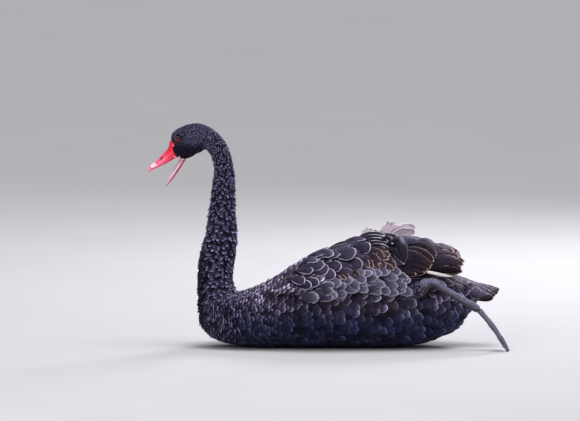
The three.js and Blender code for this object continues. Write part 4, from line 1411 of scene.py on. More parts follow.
def eyeMaterial():
    material, tree, shader = newMaterial("wetEye", Roughness=0.1)
    shader.inputs["Specular IOR Level"].default_value = 0.35
    shader.inputs["Coat Weight"].default_value = 0.15
    shader.inputs["Coat Roughness"].default_value = 0.03
    reach = readPlace(tree, "reach")
    place = placeOn(tree)
    streaks = noiseOn(tree, place, 900.0, 3.0)
    iris = mixColour(tree, streaks, (0.07, 0.006, 0.006, 1), (0.02, 0.003, 0.003, 1))
    tone = mixColour(tree, easeBetween(tree, reach, 0.44, 0.5), (0.002, 0.002, 0.003, 1), iris)
    tone = mixColour(tree, easeBetween(tree, reach, 0.78, 0.9), tone, (0.01, 0.004, 0.005, 1))
    paint(tree, shader, tone)
    return material


def makeEye(side, material):
    plan = eyePlan
    lat = np.linspace(0.02, math.pi * 0.72, 26)
    turn = turnsRound(36)
    bulge = plan["radius"] * (1 + 0.09 * np.exp(-(lat / 0.55) ** 2))
    rings = np.stack([
        np.stack([bulge[k] * math.sin(a) * np.cos(turn), side * (bulge[k] * math.cos(a)) + 0 * turn,
                  bulge[k] * math.sin(a) * np.sin(turn)], -1) for k, a in enumerate(lat)])
    rings = rings + np.array(plan["centre"]) * [1, side, 1]
    name = "eye_ball_left" if side < 0 else "eye_ball_right"
    made = ringObject(name, rings, material)
    reach = np.broadcast_to(np.minimum(np.sin(lat) / 0.86, 1.3)[:, None], rings.shape[:2])
    reach = np.where(lat[:, None] > math.pi / 2, 1.3, reach)
    setPointValues(made.data, "reach", np.concatenate([reach.ravel(), [0, 1.3]]))
    return made


# Large feathers, each a curved sheet along its own line

vaneShapes = {
    "round": {"root": 0.4, "fullAt": 0.5, "roundFrom": 0.5, "tip": 0.12},
    "square": {"root": 0.4, "fullAt": 0.5, "roundFrom": 0.62, "tip": 0.3},
    "broad": {"root": 0.5, "fullAt": 0.42, "roundFrom": 0.58, "tip": 0.12},
    "blade": {"root": 0.55, "fullAt": 0.3, "roundFrom": 0.55, "tip": 0.12},
    "dart": {"root": 0.6, "fullAt": 0.25, "roundFrom": 0.3, "tip": 0.05},
}
vaneDefaults = {
    "shape": "round", "camber": 0.5, "thick": 0.7, "draw": 0.25, "fray": 0.05, "curl": 0.0,
    "rows": 16, "columns": 12, "wave": 0.4, "face": 0.0,
}
vanePatch = 0.012
vaneSeeds = {"wing": 70, "tail": 17}


# Smooth line through two or three points of a surface's own coordinates
def bendThrough(line, t):
    points = np.array(line, float)
    if len(points) == 2:
        points = np.array([points[0], points.mean(0), points[1]])
    lead = 2 * points[1] - (points[0] + points[2]) / 2
    t = np.asarray(t)[:, None]
    return (1 - t) ** 2 * points[0] + 2 * t * (1 - t) * lead + t ** 2 * points[2]


# One feather on a surface(x, v, lift): sheet points, faces, Vane map, root's v and x, shade, distance to edge
def vaneSheet(surface, plan, dice):
    plan = {**vaneDefaults, **plan}
    t = alongStations(plan["rows"])
    x, v, lift = bendThrough(plan["line"], t).T
    centre = surface(x, v, lift)
    forward = unit(np.gradient(centre, axis=0))
    up = unit(surface(x, v, lift + 1) - surface(x, v, lift))
    outward = np.sign(centre[:, 1:2]) * np.array([0.0, 1.0, 0.0])
    up = up + outward * plan["face"] * np.minimum(2 * t, 1)[:, None]
    up = unit(up - forward * (up * forward).sum(-1, keepdims=True))
    across = np.cross(forward, up)
    c = np.linspace(-1, 1, plan["columns"] + 1)[None]
    tt = t[:, None]
    half = plan["width"] / 2 * vaneHalf(tt, vaneShapes[plan["shape"]])
    notch = 1 - plan["fray"] * 2.2 * dice.random((len(t), 2)) ** 3 * np.clip(tt * 3 - 0.6, 0, 1)
    side = np.where(c < 0, notch[:, :1], notch[:, 1:])
    reach = half * c * (1 - (1 - side) * np.abs(c) ** 3)
    bow = plan["camber"]
    sideways = np.sin(reach / np.maximum(half, 0.1) * bow) / bow * half
    drop = -(1 - np.cos(c * bow)) / bow * half
    shaft = 0.35 * np.exp(-(c / 0.1) ** 2) * (1 - 0.6 * tt)
    ripple = plan["wave"] * np.sin(tt * 9 + 4 * c + dice.uniform(0, 6)) * np.abs(c) ** 2 * tt
    curl = -plan["curl"] * half * (np.abs(c) ** 3) * tt - plan["curl"] * plan["width"] * 0.5 * tt ** 6
    jag = dice.normal(0, 1, plan["columns"] + 1) * plan["fray"] * plan["width"] * 0.22
    back = -plan["draw"] * half * np.abs(c) ** 1.7 * tt ** 3 + jag[None] * tt ** 9
    height = drop + shaft + ripple + curl
    top = (centre[:, None] + across[:, None] * sideways[..., None] + up[:, None] * height[..., None]
           + forward[:, None] * back[..., None])
    thick = plan["thick"] * (1 - 0.5 * tt)
    under = top - up[:, None] * np.broadcast_to(thick, top.shape[:2])[..., None]
    faces, inner = lensFaces(plan["rows"], plan["columns"])
    points = np.vstack([top.reshape(-1, 3), under.reshape(-1, 3)[inner]])
    uv = np.stack(np.broadcast_arrays((c + 1) / 2, tt), -1).reshape(-1, 2)
    edge = edgeReach(top).ravel()
    return {"points": points, "faces": faces, "uv": np.vstack([uv, uv[inner]]), "root": (v[0], x[0]),
            "shade": dice.uniform(0, 1), "edge": np.concatenate([edge, edge[inner]])}


# Joins feathers into one piece; each has a patch of the unwrap at its root's place
def joinVanes(name, sheets, part, material):
    points, faces = joinParts([(sheet["points"], sheet["faces"]) for sheet in sheets])
    made = meshObject(name, points, faces, material)
    bake = [mapPlace(part, *unwrapShares(part, *sheet["root"]))[:2] + (sheet["uv"] - 0.5) * vanePatch
            for sheet in sheets]
    shade = [np.full(len(sheet["points"]), sheet["shade"]) for sheet in sheets]
    setLoopMap(made.data, "Vane", np.vstack([sheet["uv"] for sheet in sheets]))
    setLoopMap(made.data, "OFBake", np.vstack(bake))
    setPointValues(made.data, "shade", np.concatenate(shade))
    setPointValues(made.data, "edge", np.concatenate([sheet["edge"] for sheet in sheets]))
    keepAboveFloor(made)
    print(f"{name}: {len(sheets)} feathers, {sum(len(f) - 2 for f in faces)} triangles")
    return made


def unwrapShares(part, v, x):
    if part == "tail":
        return np.clip(0.5 + v / tailPlan["turnRangeDeg"], 0, 1), np.clip(x / tailPlan["reachRange"], 0, 1)
    return np.clip(v, 0, 1), np.clip((x - wingStart) / wingLength, 0, 1)


vaneBarbs = 34.0
vaneLooks = {  # rim widths are millimetres
    "scapular": {"base": (0.020, 0.016, 0.034, 1), "rim": (0.66, 0.61, 0.84, 1),
                 "tip": (0.046, 0.039, 0.068, 1),
                 "rimWidth": 3.0, "rimShare": 0.85, "roughness": 0.45, "crisp": 0.1},
    "flank": {"base": (0.048, 0.042, 0.066, 1), "rim": (0.60, 0.56, 0.74, 1),
              "tip": (0.170, 0.155, 0.235, 1),
              "rimWidth": 4.2, "rimShare": 0.68, "roughness": 0.6, "ragged": 3.0, "crisp": -0.1},
    "covert": {"base": (0.018, 0.016, 0.028, 1), "rim": (0.26, 0.24, 0.35, 1),
               "tip": (0.040, 0.034, 0.055, 1),
               "rimWidth": 2.0, "rimShare": 0.6, "roughness": 0.5, "ragged": 1.8},
    # Painted highlight: the pale rim of the black vanes stands in for light on their glossy edges
    "black": {"base": (0.005, 0.0045, 0.010, 1), "rim": (0.80, 0.74, 0.90, 1),
              "tip": (0.012, 0.010, 0.018, 1), "rimWidth": 2.1, "rimShare": 0.95, "roughness": 0.34},
    "grey": {"base": (0.045, 0.039, 0.070, 1), "rim": (0.26, 0.23, 0.34, 1),
             "tip": (0.045, 0.038, 0.066, 1), "rimWidth": 1.4, "rimShare": 0.7, "roughness": 0.42},
    "fan": {"base": (0.005, 0.004, 0.008, 1), "rim": (0.70, 0.48, 0.42, 1),
            "tip": (0.026, 0.013, 0.013, 1), "rimWidth": 1.7, "rimShare": 0.95, "roughness": 0.42},
    "rear": {"base": (0.020, 0.014, 0.024, 1), "rim": (0.66, 0.45, 0.42, 1),
             "tip": (0.045, 0.026, 0.030, 1),
             "rimWidth": 1.8, "rimShare": 0.95, "roughness": 0.45, "ragged": 0.7},
    "hollow": {"base": (0.003, 0.002, 0.004, 1), "rim": (0.50, 0.34, 0.30, 1),
               "tip": (0.008, 0.005, 0.006, 1), "rimWidth": 2.0, "rimShare": 1.0, "roughness": 0.6},
    "softBrown": {"base": (0.020, 0.012, 0.018, 1), "rim": (0.60, 0.45, 0.44, 1),
                  "tip": (0.070, 0.040, 0.046, 1),
                  "rimWidth": 1.7, "rimShare": 0.85, "roughness": 0.6, "ragged": 2.4},
    "white": {"base": (0.84, 0.84, 0.80, 1), "rim": (0.95, 0.95, 0.92, 1),
              "tip": (0.80, 0.80, 0.70, 1), "rimWidth": 1.5, "rimShare": 0.6, "roughness": 0.5},
    "frill": {"base": (0.96, 0.80, 0.93, 1), "rim": (1.0, 0.97, 1.0, 1),
              "tip": (0.98, 0.84, 0.95, 1),
              "rimWidth": 1.6, "rimShare": 0.8, "roughness": 0.6, "streak": 0.5, "even": 0.68, "spread": 0.2},
    "softGrey": {"base": (0.024, 0.021, 0.038, 1), "rim": (0.46, 0.42, 0.60, 1),
                 "tip": (0.085, 0.072, 0.115, 1),
                 "rimWidth": 3.4, "rimShare": 0.7, "roughness": 0.45, "crisp": 0.0},
    "tail": {"base": (0.016, 0.014, 0.026, 1), "rim": (0.20, 0.16, 0.22, 1),
             "tip": (0.022, 0.013, 0.016, 1), "rimWidth": 1.7, "rimShare": 0.85, "roughness": 0.45},
}


def vaneMaterial(name):
    look = vaneLooks[name]
    material, tree, shader = newMaterial(name + "Vane", Roughness=look["roughness"])
    plumeShine(shader)
    off, along, lines, vane = vanePattern(tree, vaneBarbs)
    shade, edge = readPlace(tree, "shade"), readPlace(tree, "edge")
    place = placeOn(tree)
    shift = times(tree, shade, 37.0)
    spot = putNode(tree, "ShaderNodeVectorMath", {0: vane, 1: putNode(tree, "ShaderNodeCombineXYZ",
                   {0: shift, 1: shift}).outputs[0]}, operation="ADD").outputs[0]
    streak = noiseOn(tree, spot, 4.0, 4.0, stretch=(7.0, 1.2, 1.0))
    cloud = noiseOn(tree, place, 45.0, 3.0)
    width = look["rimWidth"]
    ragged = times(tree, minus(tree, streak, 0.5), width * look.get("ragged", 1.6))
    inward = plus(tree, edge, ragged)
    rim = easeBetween(tree, inward, width, width * look.get("crisp", 0.4))
    rim = times(tree, rim, easeBetween(tree, along, 0.25, 0.6))
    rim = times(tree, rim, times(tree, plus(tree, cloud, 0.5), look["rimShare"]))
    tone = mixColour(tree, easeBetween(tree, plus(tree, along, times(tree, streak, 0.1)), 0.5, 1.05),
                     look["base"], look["tip"])
    fade = plus(tree, times(tree, streak, look.get("streak", 1.5)), look.get("even", 0.0))
    fade = plus(tree, fade, times(tree, shade, look.get("spread", 0.6)))
    fade = plus(tree, fade, times(tree, lines, 0.12))
    band = times(tree, easeBetween(tree, inward, width * 3.2, width * 1.2), 0.3)
    tone = mixColour(tree, 1.0, tone, calc(tree, "MAXIMUM", minus(tree, fade, band), 0.08), "MULTIPLY")
    # Rim colour: a pale fringe on most looks, a painted edge highlight on the black vanes
    tone = mixColour(tree, calc(tree, "MINIMUM", rim, 1.0), tone, look["rim"])
    shaft = easeBetween(tree, off, 0.05, 0.02)
    tone = mixColour(tree, times(tree, shaft, 0.35), tone, (0.01, 0.009, 0.012, 1))
    paint(tree, shader, tone)
    addBump(tree, shader, plus(tree, lines, streak), 0.35, 0.0005)
    return material


# The wing's larger feathers as lines of (x, share, lift) on its surface, root to tip
wingGroups = {
    "scapular": {
        "look": "scapular",
        "feathers": [
            ([(42, 1.0, 1), (70, 0.56, 9), (95, 0.39, 13)], 36),
            ([(14, 1.0, 1), (38, 0.52, 13), (63, 0.22, 18)], 40),
            ([(30, 0.49, 0), (54, 0.19, 5), (79, 0.04, 7)], 33),
            ([(-10, 1.0, 0), (10, 0.74, 7), (32, 0.42, 12)], 31),
            ([(-30, 1.0, 1), (-6, 0.89, 9), (17, 0.47, 13)], 33),
            ([(-44, 1.0, 1), (-22, 0.62, 8), (-1, 0.27, 12)], 34),
            ([(-34, 0.81, 1), (-12, 0.39, 8), (9, 0.12, 11)], 34),
            ([(-22, 0.41, 1), (2, 0.15, 7), (25, -0.02, 10)], 29),
            ([(-70, 0.89, 1), (-52, 0.38, 6), (-36, 0.14, 9)], 23),
            ([(-56, 0.33, 1), (-40, 0.11, 6), (-23, -0.04, 9)], 23),
            ([(-40, 0.25, 1), (-24, 0.08, 6), (-8, -0.05, 9)], 23),
            ([(-54, 1.0, 1), (-38, 0.6, 8), (-22, 0.3, 11)], 24),
            ([(-46, 1.0, 1), (-30, 0.93, 8), (-14, 0.55, 11)], 24),
            ([(-34, 1.0, 1), (-18, 1.0, 8), (-2, 0.7, 11)], 24),
            ([(-2, 0.55, 1), (16, 0.29, 8), (36, 0.1, 10)], 29),
            ([(6, 1.0, -3), (28, 1.0, 2), (52, 0.67, 7)], 26),
            ([(34, 1.0, 1), (58, 1.0, 8), (82, 0.68, 12)], 24),
        ],
        "shape": "broad", "camber": 0.6, "draw": 0.0, "fray": 0.02, "face": 0.9, "rows": 18, "columns": 16,
    },
    "tertial": {
        "look": "black",
        "feathers": [
            ([(70, 1.0, 4), (102, 0.98, 13), (134, 0.93, 15)], 20),
            ([(84, 0.92, 4), (116, 0.88, 14), (148, 0.82, 16)], 20),
            ([(62, 0.95, 6), (92, 0.88, 17), (124, 0.78, 18)], 15),
            ([(62, 0.84, 5), (94, 0.77, 15), (128, 0.68, 16)], 14),
            ([(66, 0.74, 5), (98, 0.68, 13), (131, 0.6, 14)], 13),
            ([(72, 0.66, 5), (102, 0.6, 11), (133, 0.54, 12)], 12),
            ([(80, 0.58, 4), (106, 0.53, 9), (130, 0.48, 10)], 12),
        ],
        "shape": "blade", "camber": 0.6, "draw": 0.1, "fray": 0.06, "curl": 0.05, "rows": 20, "face": 1.0,
    },
    "curled": {
        "look": "black",
        "feathers": [
            ([(112, 0.6, 12), (129, 0.66, 21), (139, 0.5, 17)], 16),
            ([(124, 0.52, 10), (152, 0.5, 25), (160, 0.08, 13)], 30),
            ([(118, 0.4, 8), (140, 0.36, 15), (158, 0.12, 11)], 20),
            ([(126, 0.74, 10), (148, 0.74, 17), (162, 0.6, 13)], 18),
        ],
        "shape": "blade", "camber": 1.15, "draw": 0.1, "fray": 0.04, "curl": 0.1, "rows": 22, "face": 0.8,
    },
    "arch": {
        "look": "grey",
        "feathers": [
            ([(138, 0.72, 8), (168, 0.8, 14), (196, 0.78, 11)], 34),
            ([(184, 0.62, 8), (206, 0.68, 22), (223, 0.26, 12)], 30),
            ([(150, 0.95, 6), (180, 0.96, 12), (208, 0.92, 10)], 34),
            ([(128, 0.86, 6), (156, 0.88, 12), (184, 0.86, 12)], 32),
        ],
        "shape": "square", "camber": 0.95, "draw": 0.12, "fray": 0.03, "curl": 0.15, "rows": 20, "face": 0.5,
    },
    "fan": {
        "look": "fan",
        "feathers": [
            ([(148, 0.44, 4), (182, 0.3, 13), (217, 0.08, 12)], 22),
            ([(150, 0.32, 4), (184, 0.2, 11), (214, 0.02, 12)], 24),
            ([(148, 0.2, 3), (180, 0.1, 9), (208, -0.03, 11)], 24),
            ([(160, 0.52, 5), (192, 0.4, 15), (221, 0.17, 14)], 20),
            ([(140, 0.06, 2), (172, 0.0, 7), (203, -0.07, 9)], 22),
            ([(130, 0.0, 1), (158, -0.04, 6), (186, -0.08, 8)], 20),
            ([(126, 0.36, 3), (154, 0.3, 8), (180, 0.2, 9)], 26),
            ([(172, 0.66, 7), (202, 0.56, 18), (226, 0.32, 14)], 18),
        ],
        "shape": "blade", "camber": 0.8, "draw": 0.1, "fray": 0.1, "curl": 0.08, "rows": 22, "face": 0.7,
    },
    "rear": {
        "look": "rear",
        "feathers": [
            ([(196, 0.58, 6), (216, 0.66, 11), (235, 0.76, 11)], 20),
            ([(204, 0.52, 5), (232, 0.64, 11), (259, 0.8, 10)], 27),
            ([(206, 0.42, 4), (240, 0.5, 10), (272, 0.62, 9)], 27),
            ([(204, 0.32, 3), (242, 0.34, 8), (280, 0.37, 8)], 28),
            ([(202, 0.22, 2), (238, 0.25, 6), (273, 0.33, 6)], 24),
            ([(198, 0.84, 4), (236, 0.88, 9), (270, 0.9, 8)], 28),
            ([(194, 0.7, 4), (228, 0.74, 10), (262, 0.74, 9)], 28),
        ],
        "shape": "square", "camber": 0.6, "draw": 0.05, "fray": 0.22, "rows": 20, "columns": 16,
        "wave": 0.8, "face": 0.6,
    },
    "lowest": {
        "look": "hollow",
        "feathers": [
            ([(208, 0.04, 3), (246, 0.05, 9), (278, 0.07, 10)], 21),
            ([(202, 0.14, 0), (238, 0.17, 4), (276, 0.22, 4)], 26),
        ],
        "shape": "square", "camber": 0.9, "draw": 0.0, "fray": 0.25, "rows": 20, "columns": 16, "face": 0.5,
    },
    "primary": {
        "look": "white",
        "feathers": [
            ([(204, -0.03, 7), (230, -0.09, 10), (258, -0.12, 10)], 6.5),
        ],
        "shape": "dart", "camber": 0.4, "draw": 0.2, "fray": 0.03, "face": 0.6,
    },
    "brown": {
        "look": "softBrown",
        "feathers": [
            ([(84, 0.5, 3), (101, 0.4, 8), (117, 0.27, 9)], 16),
            ([(98, 0.5, 4), (115, 0.43, 9), (130, 0.34, 10)], 16),
            ([(88, 0.33, 3), (102, 0.22, 8), (115, 0.07, 8)], 16),
            ([(98, 0.3, 4), (114, 0.25, 9), (130, 0.17, 9)], 18),
            ([(104, 0.2, 3), (115, 0.12, 8), (125, 0.01, 8)], 16),
            ([(84, 0.24, 2), (92, 0.12, 6), (99, -0.03, 7)], 13),
            ([(78, 0.25, 2), (85, 0.14, 6), (91, -0.01, 7)], 13),
            ([(108, 0.1, 3), (125, 0.04, 8), (141, -0.02, 8)], 17),
            ([(118, 0.24, 4), (132, 0.15, 9), (145, 0.02, 10)], 18),
            ([(22, 0.06, 1), (29, -0.04, 5), (36, -0.14, 6)], 11),
            ([(30, 0.04, 1), (38, -0.06, 5), (45, -0.16, 6)], 11),
            ([(39, 0.02, 1), (46, -0.07, 5), (53, -0.17, 6)], 11),
            ([(58, 0.0, 1), (66, -0.08, 5), (73, -0.17, 6)], 11),
            ([(92, 0.4, 5), (108, 0.36, 10), (122, 0.22, 10)], 14),
            ([(108, 0.36, 5), (122, 0.3, 10), (134, 0.24, 10)], 14),
            ([(94, 0.16, 3), (104, 0.08, 7), (112, -0.06, 8)], 13),
        ],
        "shape": "round", "camber": 0.5, "draw": 0.1, "fray": 0.22, "columns": 14, "wave": 0.8, "face": 0.6,
    },
}

# Rows of rounded flank feathers that lie over the wing's lower edge
flankRows = [
    {"from": -36, "to": 158, "step": 15, "share": -0.37, "length": 38, "width": 24, "rise": 6},
    {"from": -28, "to": 152, "step": 15, "share": -0.26, "length": 37, "width": 24, "rise": 7},
    {"from": -14, "to": 148, "step": 15, "share": -0.15, "length": 36, "width": 23, "rise": 9},
    {"from": 56, "to": 140, "step": 15, "share": -0.07, "length": 34, "width": 21, "rise": 9},
]

# Rows of plain feathers that close the wing below the ones above. Their roots stand at x, from the
# share low to high; base and rise are the lifts of root and tip; plainRow gives what a row leaves out
plainRow = {"count": 6, "high": 0.86, "width": 38, "base": -1, "rise": 4, "look": "covert"}
wingRows = [
    {"x": 6, "low": 0.03, "length": 52, "width": 36},
    {"x": 26, "low": 0.06, "length": 56},
    {"x": 46, "low": 0.03, "length": 60},
    {"x": 68, "low": 0.06, "length": 62},
    {"x": 90, "low": 0.02, "length": 68},
    {"x": 112, "low": 0.04, "high": 0.96, "length": 82, "width": 36, "rise": 3, "look": "fan"},
    {"x": 132, "low": 0.08, "high": 0.94, "length": 104, "width": 34, "base": -3, "rise": 1, "look": "fan"},
    {"x": 144, "count": 7, "low": 0.08, "high": 0.92, "length": 128, "width": 30, "base": -7, "rise": -2,
     "look": "fan"},
    {"x": 150, "count": 4, "low": 0.1, "high": 0.44, "length": 116, "width": 22, "base": -12, "rise": -9,
     "look": "white"},
]

# Loose feathers of the inner right wing: root, run along the wing and rise of the tip
frillFeathers = [
    {"x": 82, "run": -2, "rise": 19, "width": 11}, {"x": 86, "run": 4, "rise": 23, "width": 12},
    {"x": 91, "run": 7, "rise": 21, "width": 12}, {"x": 97, "run": 11, "rise": 18, "width": 12},
    {"x": 116, "run": 2, "rise": 22, "width": 12}, {"x": 120, "run": 6, "rise": 32, "width": 12},
    {"x": 124, "run": 9, "rise": 38, "width": 13}, {"x": 130, "run": 12, "rise": 37, "width": 14},
    {"x": 136, "run": 15, "rise": 32, "width": 14}, {"x": 132, "run": 52, "rise": 31, "width": 25},
    {"x": 138, "run": 46, "rise": 22, "width": 24}, {"x": 112, "run": 0, "rise": 15, "width": 10},
]


def wingSurface(side):
    return lambda x, share, lift: wingPoint(side, x, share, lift)


def wingRow(side, row, r, dice):
    step = (row["high"] - row["low"]) / (row["count"] - 1)
    for k in range(row["count"]):
        share = row["low"] + k * step + (0.25 if r % 2 else -0.25) * step
        share = min(max(share, 0.0), 0.98)
        x = row["x"] + dice.uniform(-3, 3)
        length = row["length"] * (1 + 0.06 * dice.uniform(-1, 1))
        fall = dice.uniform(-0.02, 0.02) - 0.03 * (1 - share)
        lift = row["base"] * 0.3 + row["rise"] * 0.7
        line = [(x, share, row["base"]), (x + length / 2, share + fall / 2, lift),
                (x + length, share + fall, row["rise"])]
        plan = {"line": line, "width": row["width"] * (1 + 0.06 * dice.uniform(-1, 1)), "camber": 0.45,
                "shape": "blade" if length > 75 else "round", "face": 0.4}
        yield vaneSheet(wingSurface(side), plan, dice)


def flankRow(side, row, dice):
    for x in np.arange(row["from"], row["to"], row["step"]):
        x, share = x + dice.uniform(-7, 7), row["share"] + dice.uniform(-0.045, 0.045)
        length, turn = row["length"] * (1 + 0.14 * dice.uniform(-1, 1)), dice.uniform(-0.06, 0.04)
        rise = row["rise"] + dice.uniform(-2, 2)
        line = [(x, share - turn, -3), (x + length / 2, share, rise * 0.6),
                (x + length, share + turn - 0.03, rise)]
        plan = {"line": line, "width": row["width"] * (1 + 0.16 * dice.uniform(-1, 1)), "shape": "broad",
                "camber": 0.6, "draw": 0.0, "fray": 0.12, "wave": 0.8}
        yield vaneSheet(wingSurface(side), plan, dice)


def wingVanes(side, materials):
    dice = np.random.default_rng(vaneSeeds["wing"] + side)
    sheets = {}
    for r, row in enumerate(wingRows):
        row = {**plainRow, **row}
        sheets.setdefault(row["look"], []).extend(wingRow(side, row, r, dice))
    for row in flankRows:
        sheets.setdefault("flank", []).extend(flankRow(side, row, dice))
    for group in wingGroups.values():
        settings = {key: value for key, value in group.items() if key not in ("look", "feathers")}
        for line, width in group["feathers"]:
            plan = {**settings, "line": line, "width": width}
            if side > 0:
                plan["line"] = [
                    (x + dice.uniform(-3, 3), min(share, 0.9) + dice.uniform(-0.03, 0.02), lift * 0.7)
                    for x, share, lift in line]
                plan["face"] = settings.get("face", 0) * 0.35
            sheets.setdefault(group["look"], []).append(vaneSheet(wingSurface(side), plan, dice))
    if side > 0:
        sheets["frill"] = [frillSheet(side, plan, dice) for plan in frillFeathers]
    word, part = ("left", "wingLeft") if side < 0 else ("right", "wingRight")
    return [joinVanes(f"wing_{look}_{word}", made, part, materials[look]) for look, made in sheets.items()]


# Loose feather of the inner wing that stands up with its face to the side
def frillSheet(side, plan, dice):
    x, run, rise = plan["x"], plan["run"], plan["rise"]
    line = [(x, 0.86, -2), (x + run * 0.35, 0.86, rise * 0.6), (x + run, 0.86, rise)]
    broad = run > 30
    feather = {"line": line, "width": plan["width"], "shape": "square", "camber": 0.2, "face": 4.0,
               "fray": 0.2 if broad else 0.42, "wave": 1.0, "draw": 0.0, "rows": 26, "columns": 20}
    return vaneSheet(wingSurface(side), feather, dice)


# Tail, legs and feet

tailPlan = {
    "centre": (215, 124),
    "drop": 0.0046,
    "turnRangeDeg": 70,
    "reachRange": 140,
    "step": -1.2,
    "rows": [  # from and to are reaches from the fan's centre
        {"count": 6, "from": 48, "to": 106, "spreadDeg": 24, "width": 30, "base": -13, "rise": -12,
         "step": 1.0},
        {"count": 9, "from": 60, "to": 138, "spreadDeg": 22, "width": 34, "base": -3, "rise": -2,
         "step": -0.8},
        {"count": 7, "from": 60, "to": 126, "spreadDeg": 22, "width": 34, "base": 0, "rise": 2},
        {"count": 6, "from": 50, "to": 112, "spreadDeg": 23, "width": 36, "base": 2, "rise": 6},
        {"count": 5, "from": 40, "to": 96, "spreadDeg": 24, "width": 38, "base": 5, "rise": 9},
        {"count": 5, "from": 26, "to": 78, "spreadDeg": 24, "width": 38, "base": 8, "rise": 12},
    ],
}


def tailSurface(reach, angleDeg, lift):
    reach, angle, lift = np.broadcast_arrays(reach, np.radians(angleDeg), lift)
    y = reach * np.sin(angle)
    x = tailPlan["centre"][0] + reach * np.cos(angle)
    return np.stack([x, y, tailPlan["centre"][1] - tailPlan["drop"] * y * y + lift], -1).astype(float)


def tailVanes(materials):
    dice = np.random.default_rng(vaneSeeds["tail"])
    sheets = {"tail": [], "softGrey": []}
    for row in tailPlan["rows"]:
        for k in range(row["count"]):
            place = k - (row["count"] - 1) / 2
            angle = place / (row["count"] - 1) * 2 * row["spreadDeg"] + dice.uniform(-1, 1)
            lower = abs(place) * row.get("step", tailPlan["step"])
            reach = row["to"] - abs(place) * 1.2 + dice.uniform(-2, 2)
            line = [(row["from"], angle * 0.8, row["base"] + lower), (reach, angle, row["rise"] + lower)]
            look = "tail" if row["to"] > 130 else "softGrey"
            plan = {"line": line, "width": row["width"] * (1 + 0.06 * dice.uniform(-1, 1)), "shape": "broad",
                    "face": 0.9 * abs(place) / row["count"] * 2, "camber": 0.9, "curl": 0.3, "fray": 0.05,
                    "draw": 0.0, "thick": 1.0}
            sheets[look].append(vaneSheet(tailSurface, plan, dice))
    return [joinVanes(f"tail_{look}", made, "tail", materials[look]) for look, made in sheets.items()]


def legMaterial():
    material, tree, shader = newMaterial("slateLeg", Roughness=0.48)
    place = placeOn(tree)
    cells = putNode(tree, "ShaderNodeTexVoronoi", {"Vector": place, "Scale": 330.0, "Randomness": 0.8},
                    feature="DISTANCE_TO_EDGE").outputs["Distance"]
    grooves = easeBetween(tree, cells, 0.02, 0.16)
    mottle = noiseOn(tree, place, 60.0, 4.0)
    tone = mixColour(tree, mottle, (0.060, 0.058, 0.105, 1), (0.28, 0.28, 0.46, 1))
    # Painted shade: darker and browner where under is high, the lower side of the left tarsus
    under = easeBetween(tree, plus(tree, readPlace(tree, "under"), times(tree, mottle, 0.5)), 0.1, 0.8)
    tone = mixColour(tree, under, tone, (0.055, 0.036, 0.036, 1))
    tone = mixColour(tree, grooves, (0.020, 0.017, 0.028, 1), tone)
    paint(tree, shader, tone)
    fine = noiseOn(tree, place, 900.0, 3.0)
    addBump(tree, shader, plus(tree, grooves, times(tree, fine, 0.25)), 0.6, 0.0006)
    return material


def clawMaterial():
    material, tree, shader = newMaterial("darkClaw", Roughness=0.3)
    place = placeOn(tree)
    grain = noiseOn(tree, place, 500.0, 4.0)
    paint(tree, shader, mixColour(tree, grain, (0.02, 0.018, 0.02, 1), (0.07, 0.06, 0.065, 1)))
    addBump(tree, shader, grain, 0.3, 0.0003)
    return material


def makeTarsus(word, leg, material):
    bare = leg.get("heel", [])
    limb = limbAlong(bare + leg["tarsus"])
    turn = turnsRound(32)
    rings = []
    for w in np.linspace(0, 6 + len(bare), 84 + 20 * len(bare)) - len(bare):
        tendon = 0.5 * np.exp(-((np.cos(turn) + 0.9) / 0.12) ** 2)
        scutes = 0.22 * np.maximum(0, np.cos(turn)) * math.sin(w * 26)
        knob = 0.9 * math.exp(-((w - 1.0) / 0.45) ** 2) * np.abs(np.sin(turn)) ** 3
        knob = knob + 0.45 * math.exp(-(w / 1.1) ** 2) * np.sin(w * 14 + 2 * np.cos(2 * turn))
        ring = limb(w + len(bare), turn)
        middle = ring.mean(0)
        rings.append(middle + (ring - middle) * (1 + (knob + scutes - tendon)[:, None] / 7))
    made = ringObject(f"tarsus_skin_{word}", np.array(rings), material)
    # under: cosine of the turn round the tarsus, which sets its painted shade
    setPointValues(made.data, "under", np.concatenate([np.tile(np.cos(turn), len(rings)), [0, 0]]))
    return made


footPlan = {
    "toes": [{"length": 98, "place": -1, "radius": 5.4}, {"length": 104, "place": 0, "radius": 6},
             {"length": 82, "place": 1, "radius": 5.2}],
    "bulges": [[0, 1], [0.3, 0.82], [0.35, 1], [0.63, 0.74], [0.68, 0.88], [0.9, 0.6], [1, 0.3]],
    "hind": [[-2, 5, 0, 4, 4], [-12, 9, -1, 3.4, 3.2], [-20, 11, -4, 2.6, 2.4], [-25, 12, -6, 1, 1]],
    "toeStep": 4,
    "arch": 3.2,
    "webThick": 1.5,
    "claw": {"length": 10, "radius": 2.2, "hook": 4.5},
}


def footPose(foot, points):
    turn, dip = math.radians(foot["headingDeg"]), math.radians(-foot["pitchDeg"])
    x, y, z = np.moveaxis(np.asarray(points, float), -1, 0)
    x, z = x * math.cos(dip) + z * math.sin(dip), z * math.cos(dip) - x * math.sin(dip)
    x, y = x * math.cos(turn) - y * math.sin(turn), x * math.sin(turn) + y * math.cos(turn)
    return np.stack([x, y, z], -1) + foot["joint"]


def toeLine(foot, toe, t):
    heading = math.radians(toe["place"] * foot["spreadDeg"])
    t = np.asarray(t, float)
    return np.stack([t * toe["length"] * math.cos(heading),
                     t * toe["length"] * math.sin(heading) + toe["place"] * footPlan["toeStep"],
                     footPlan["arch"] * (np.sin(t * math.pi) - t)], -1)


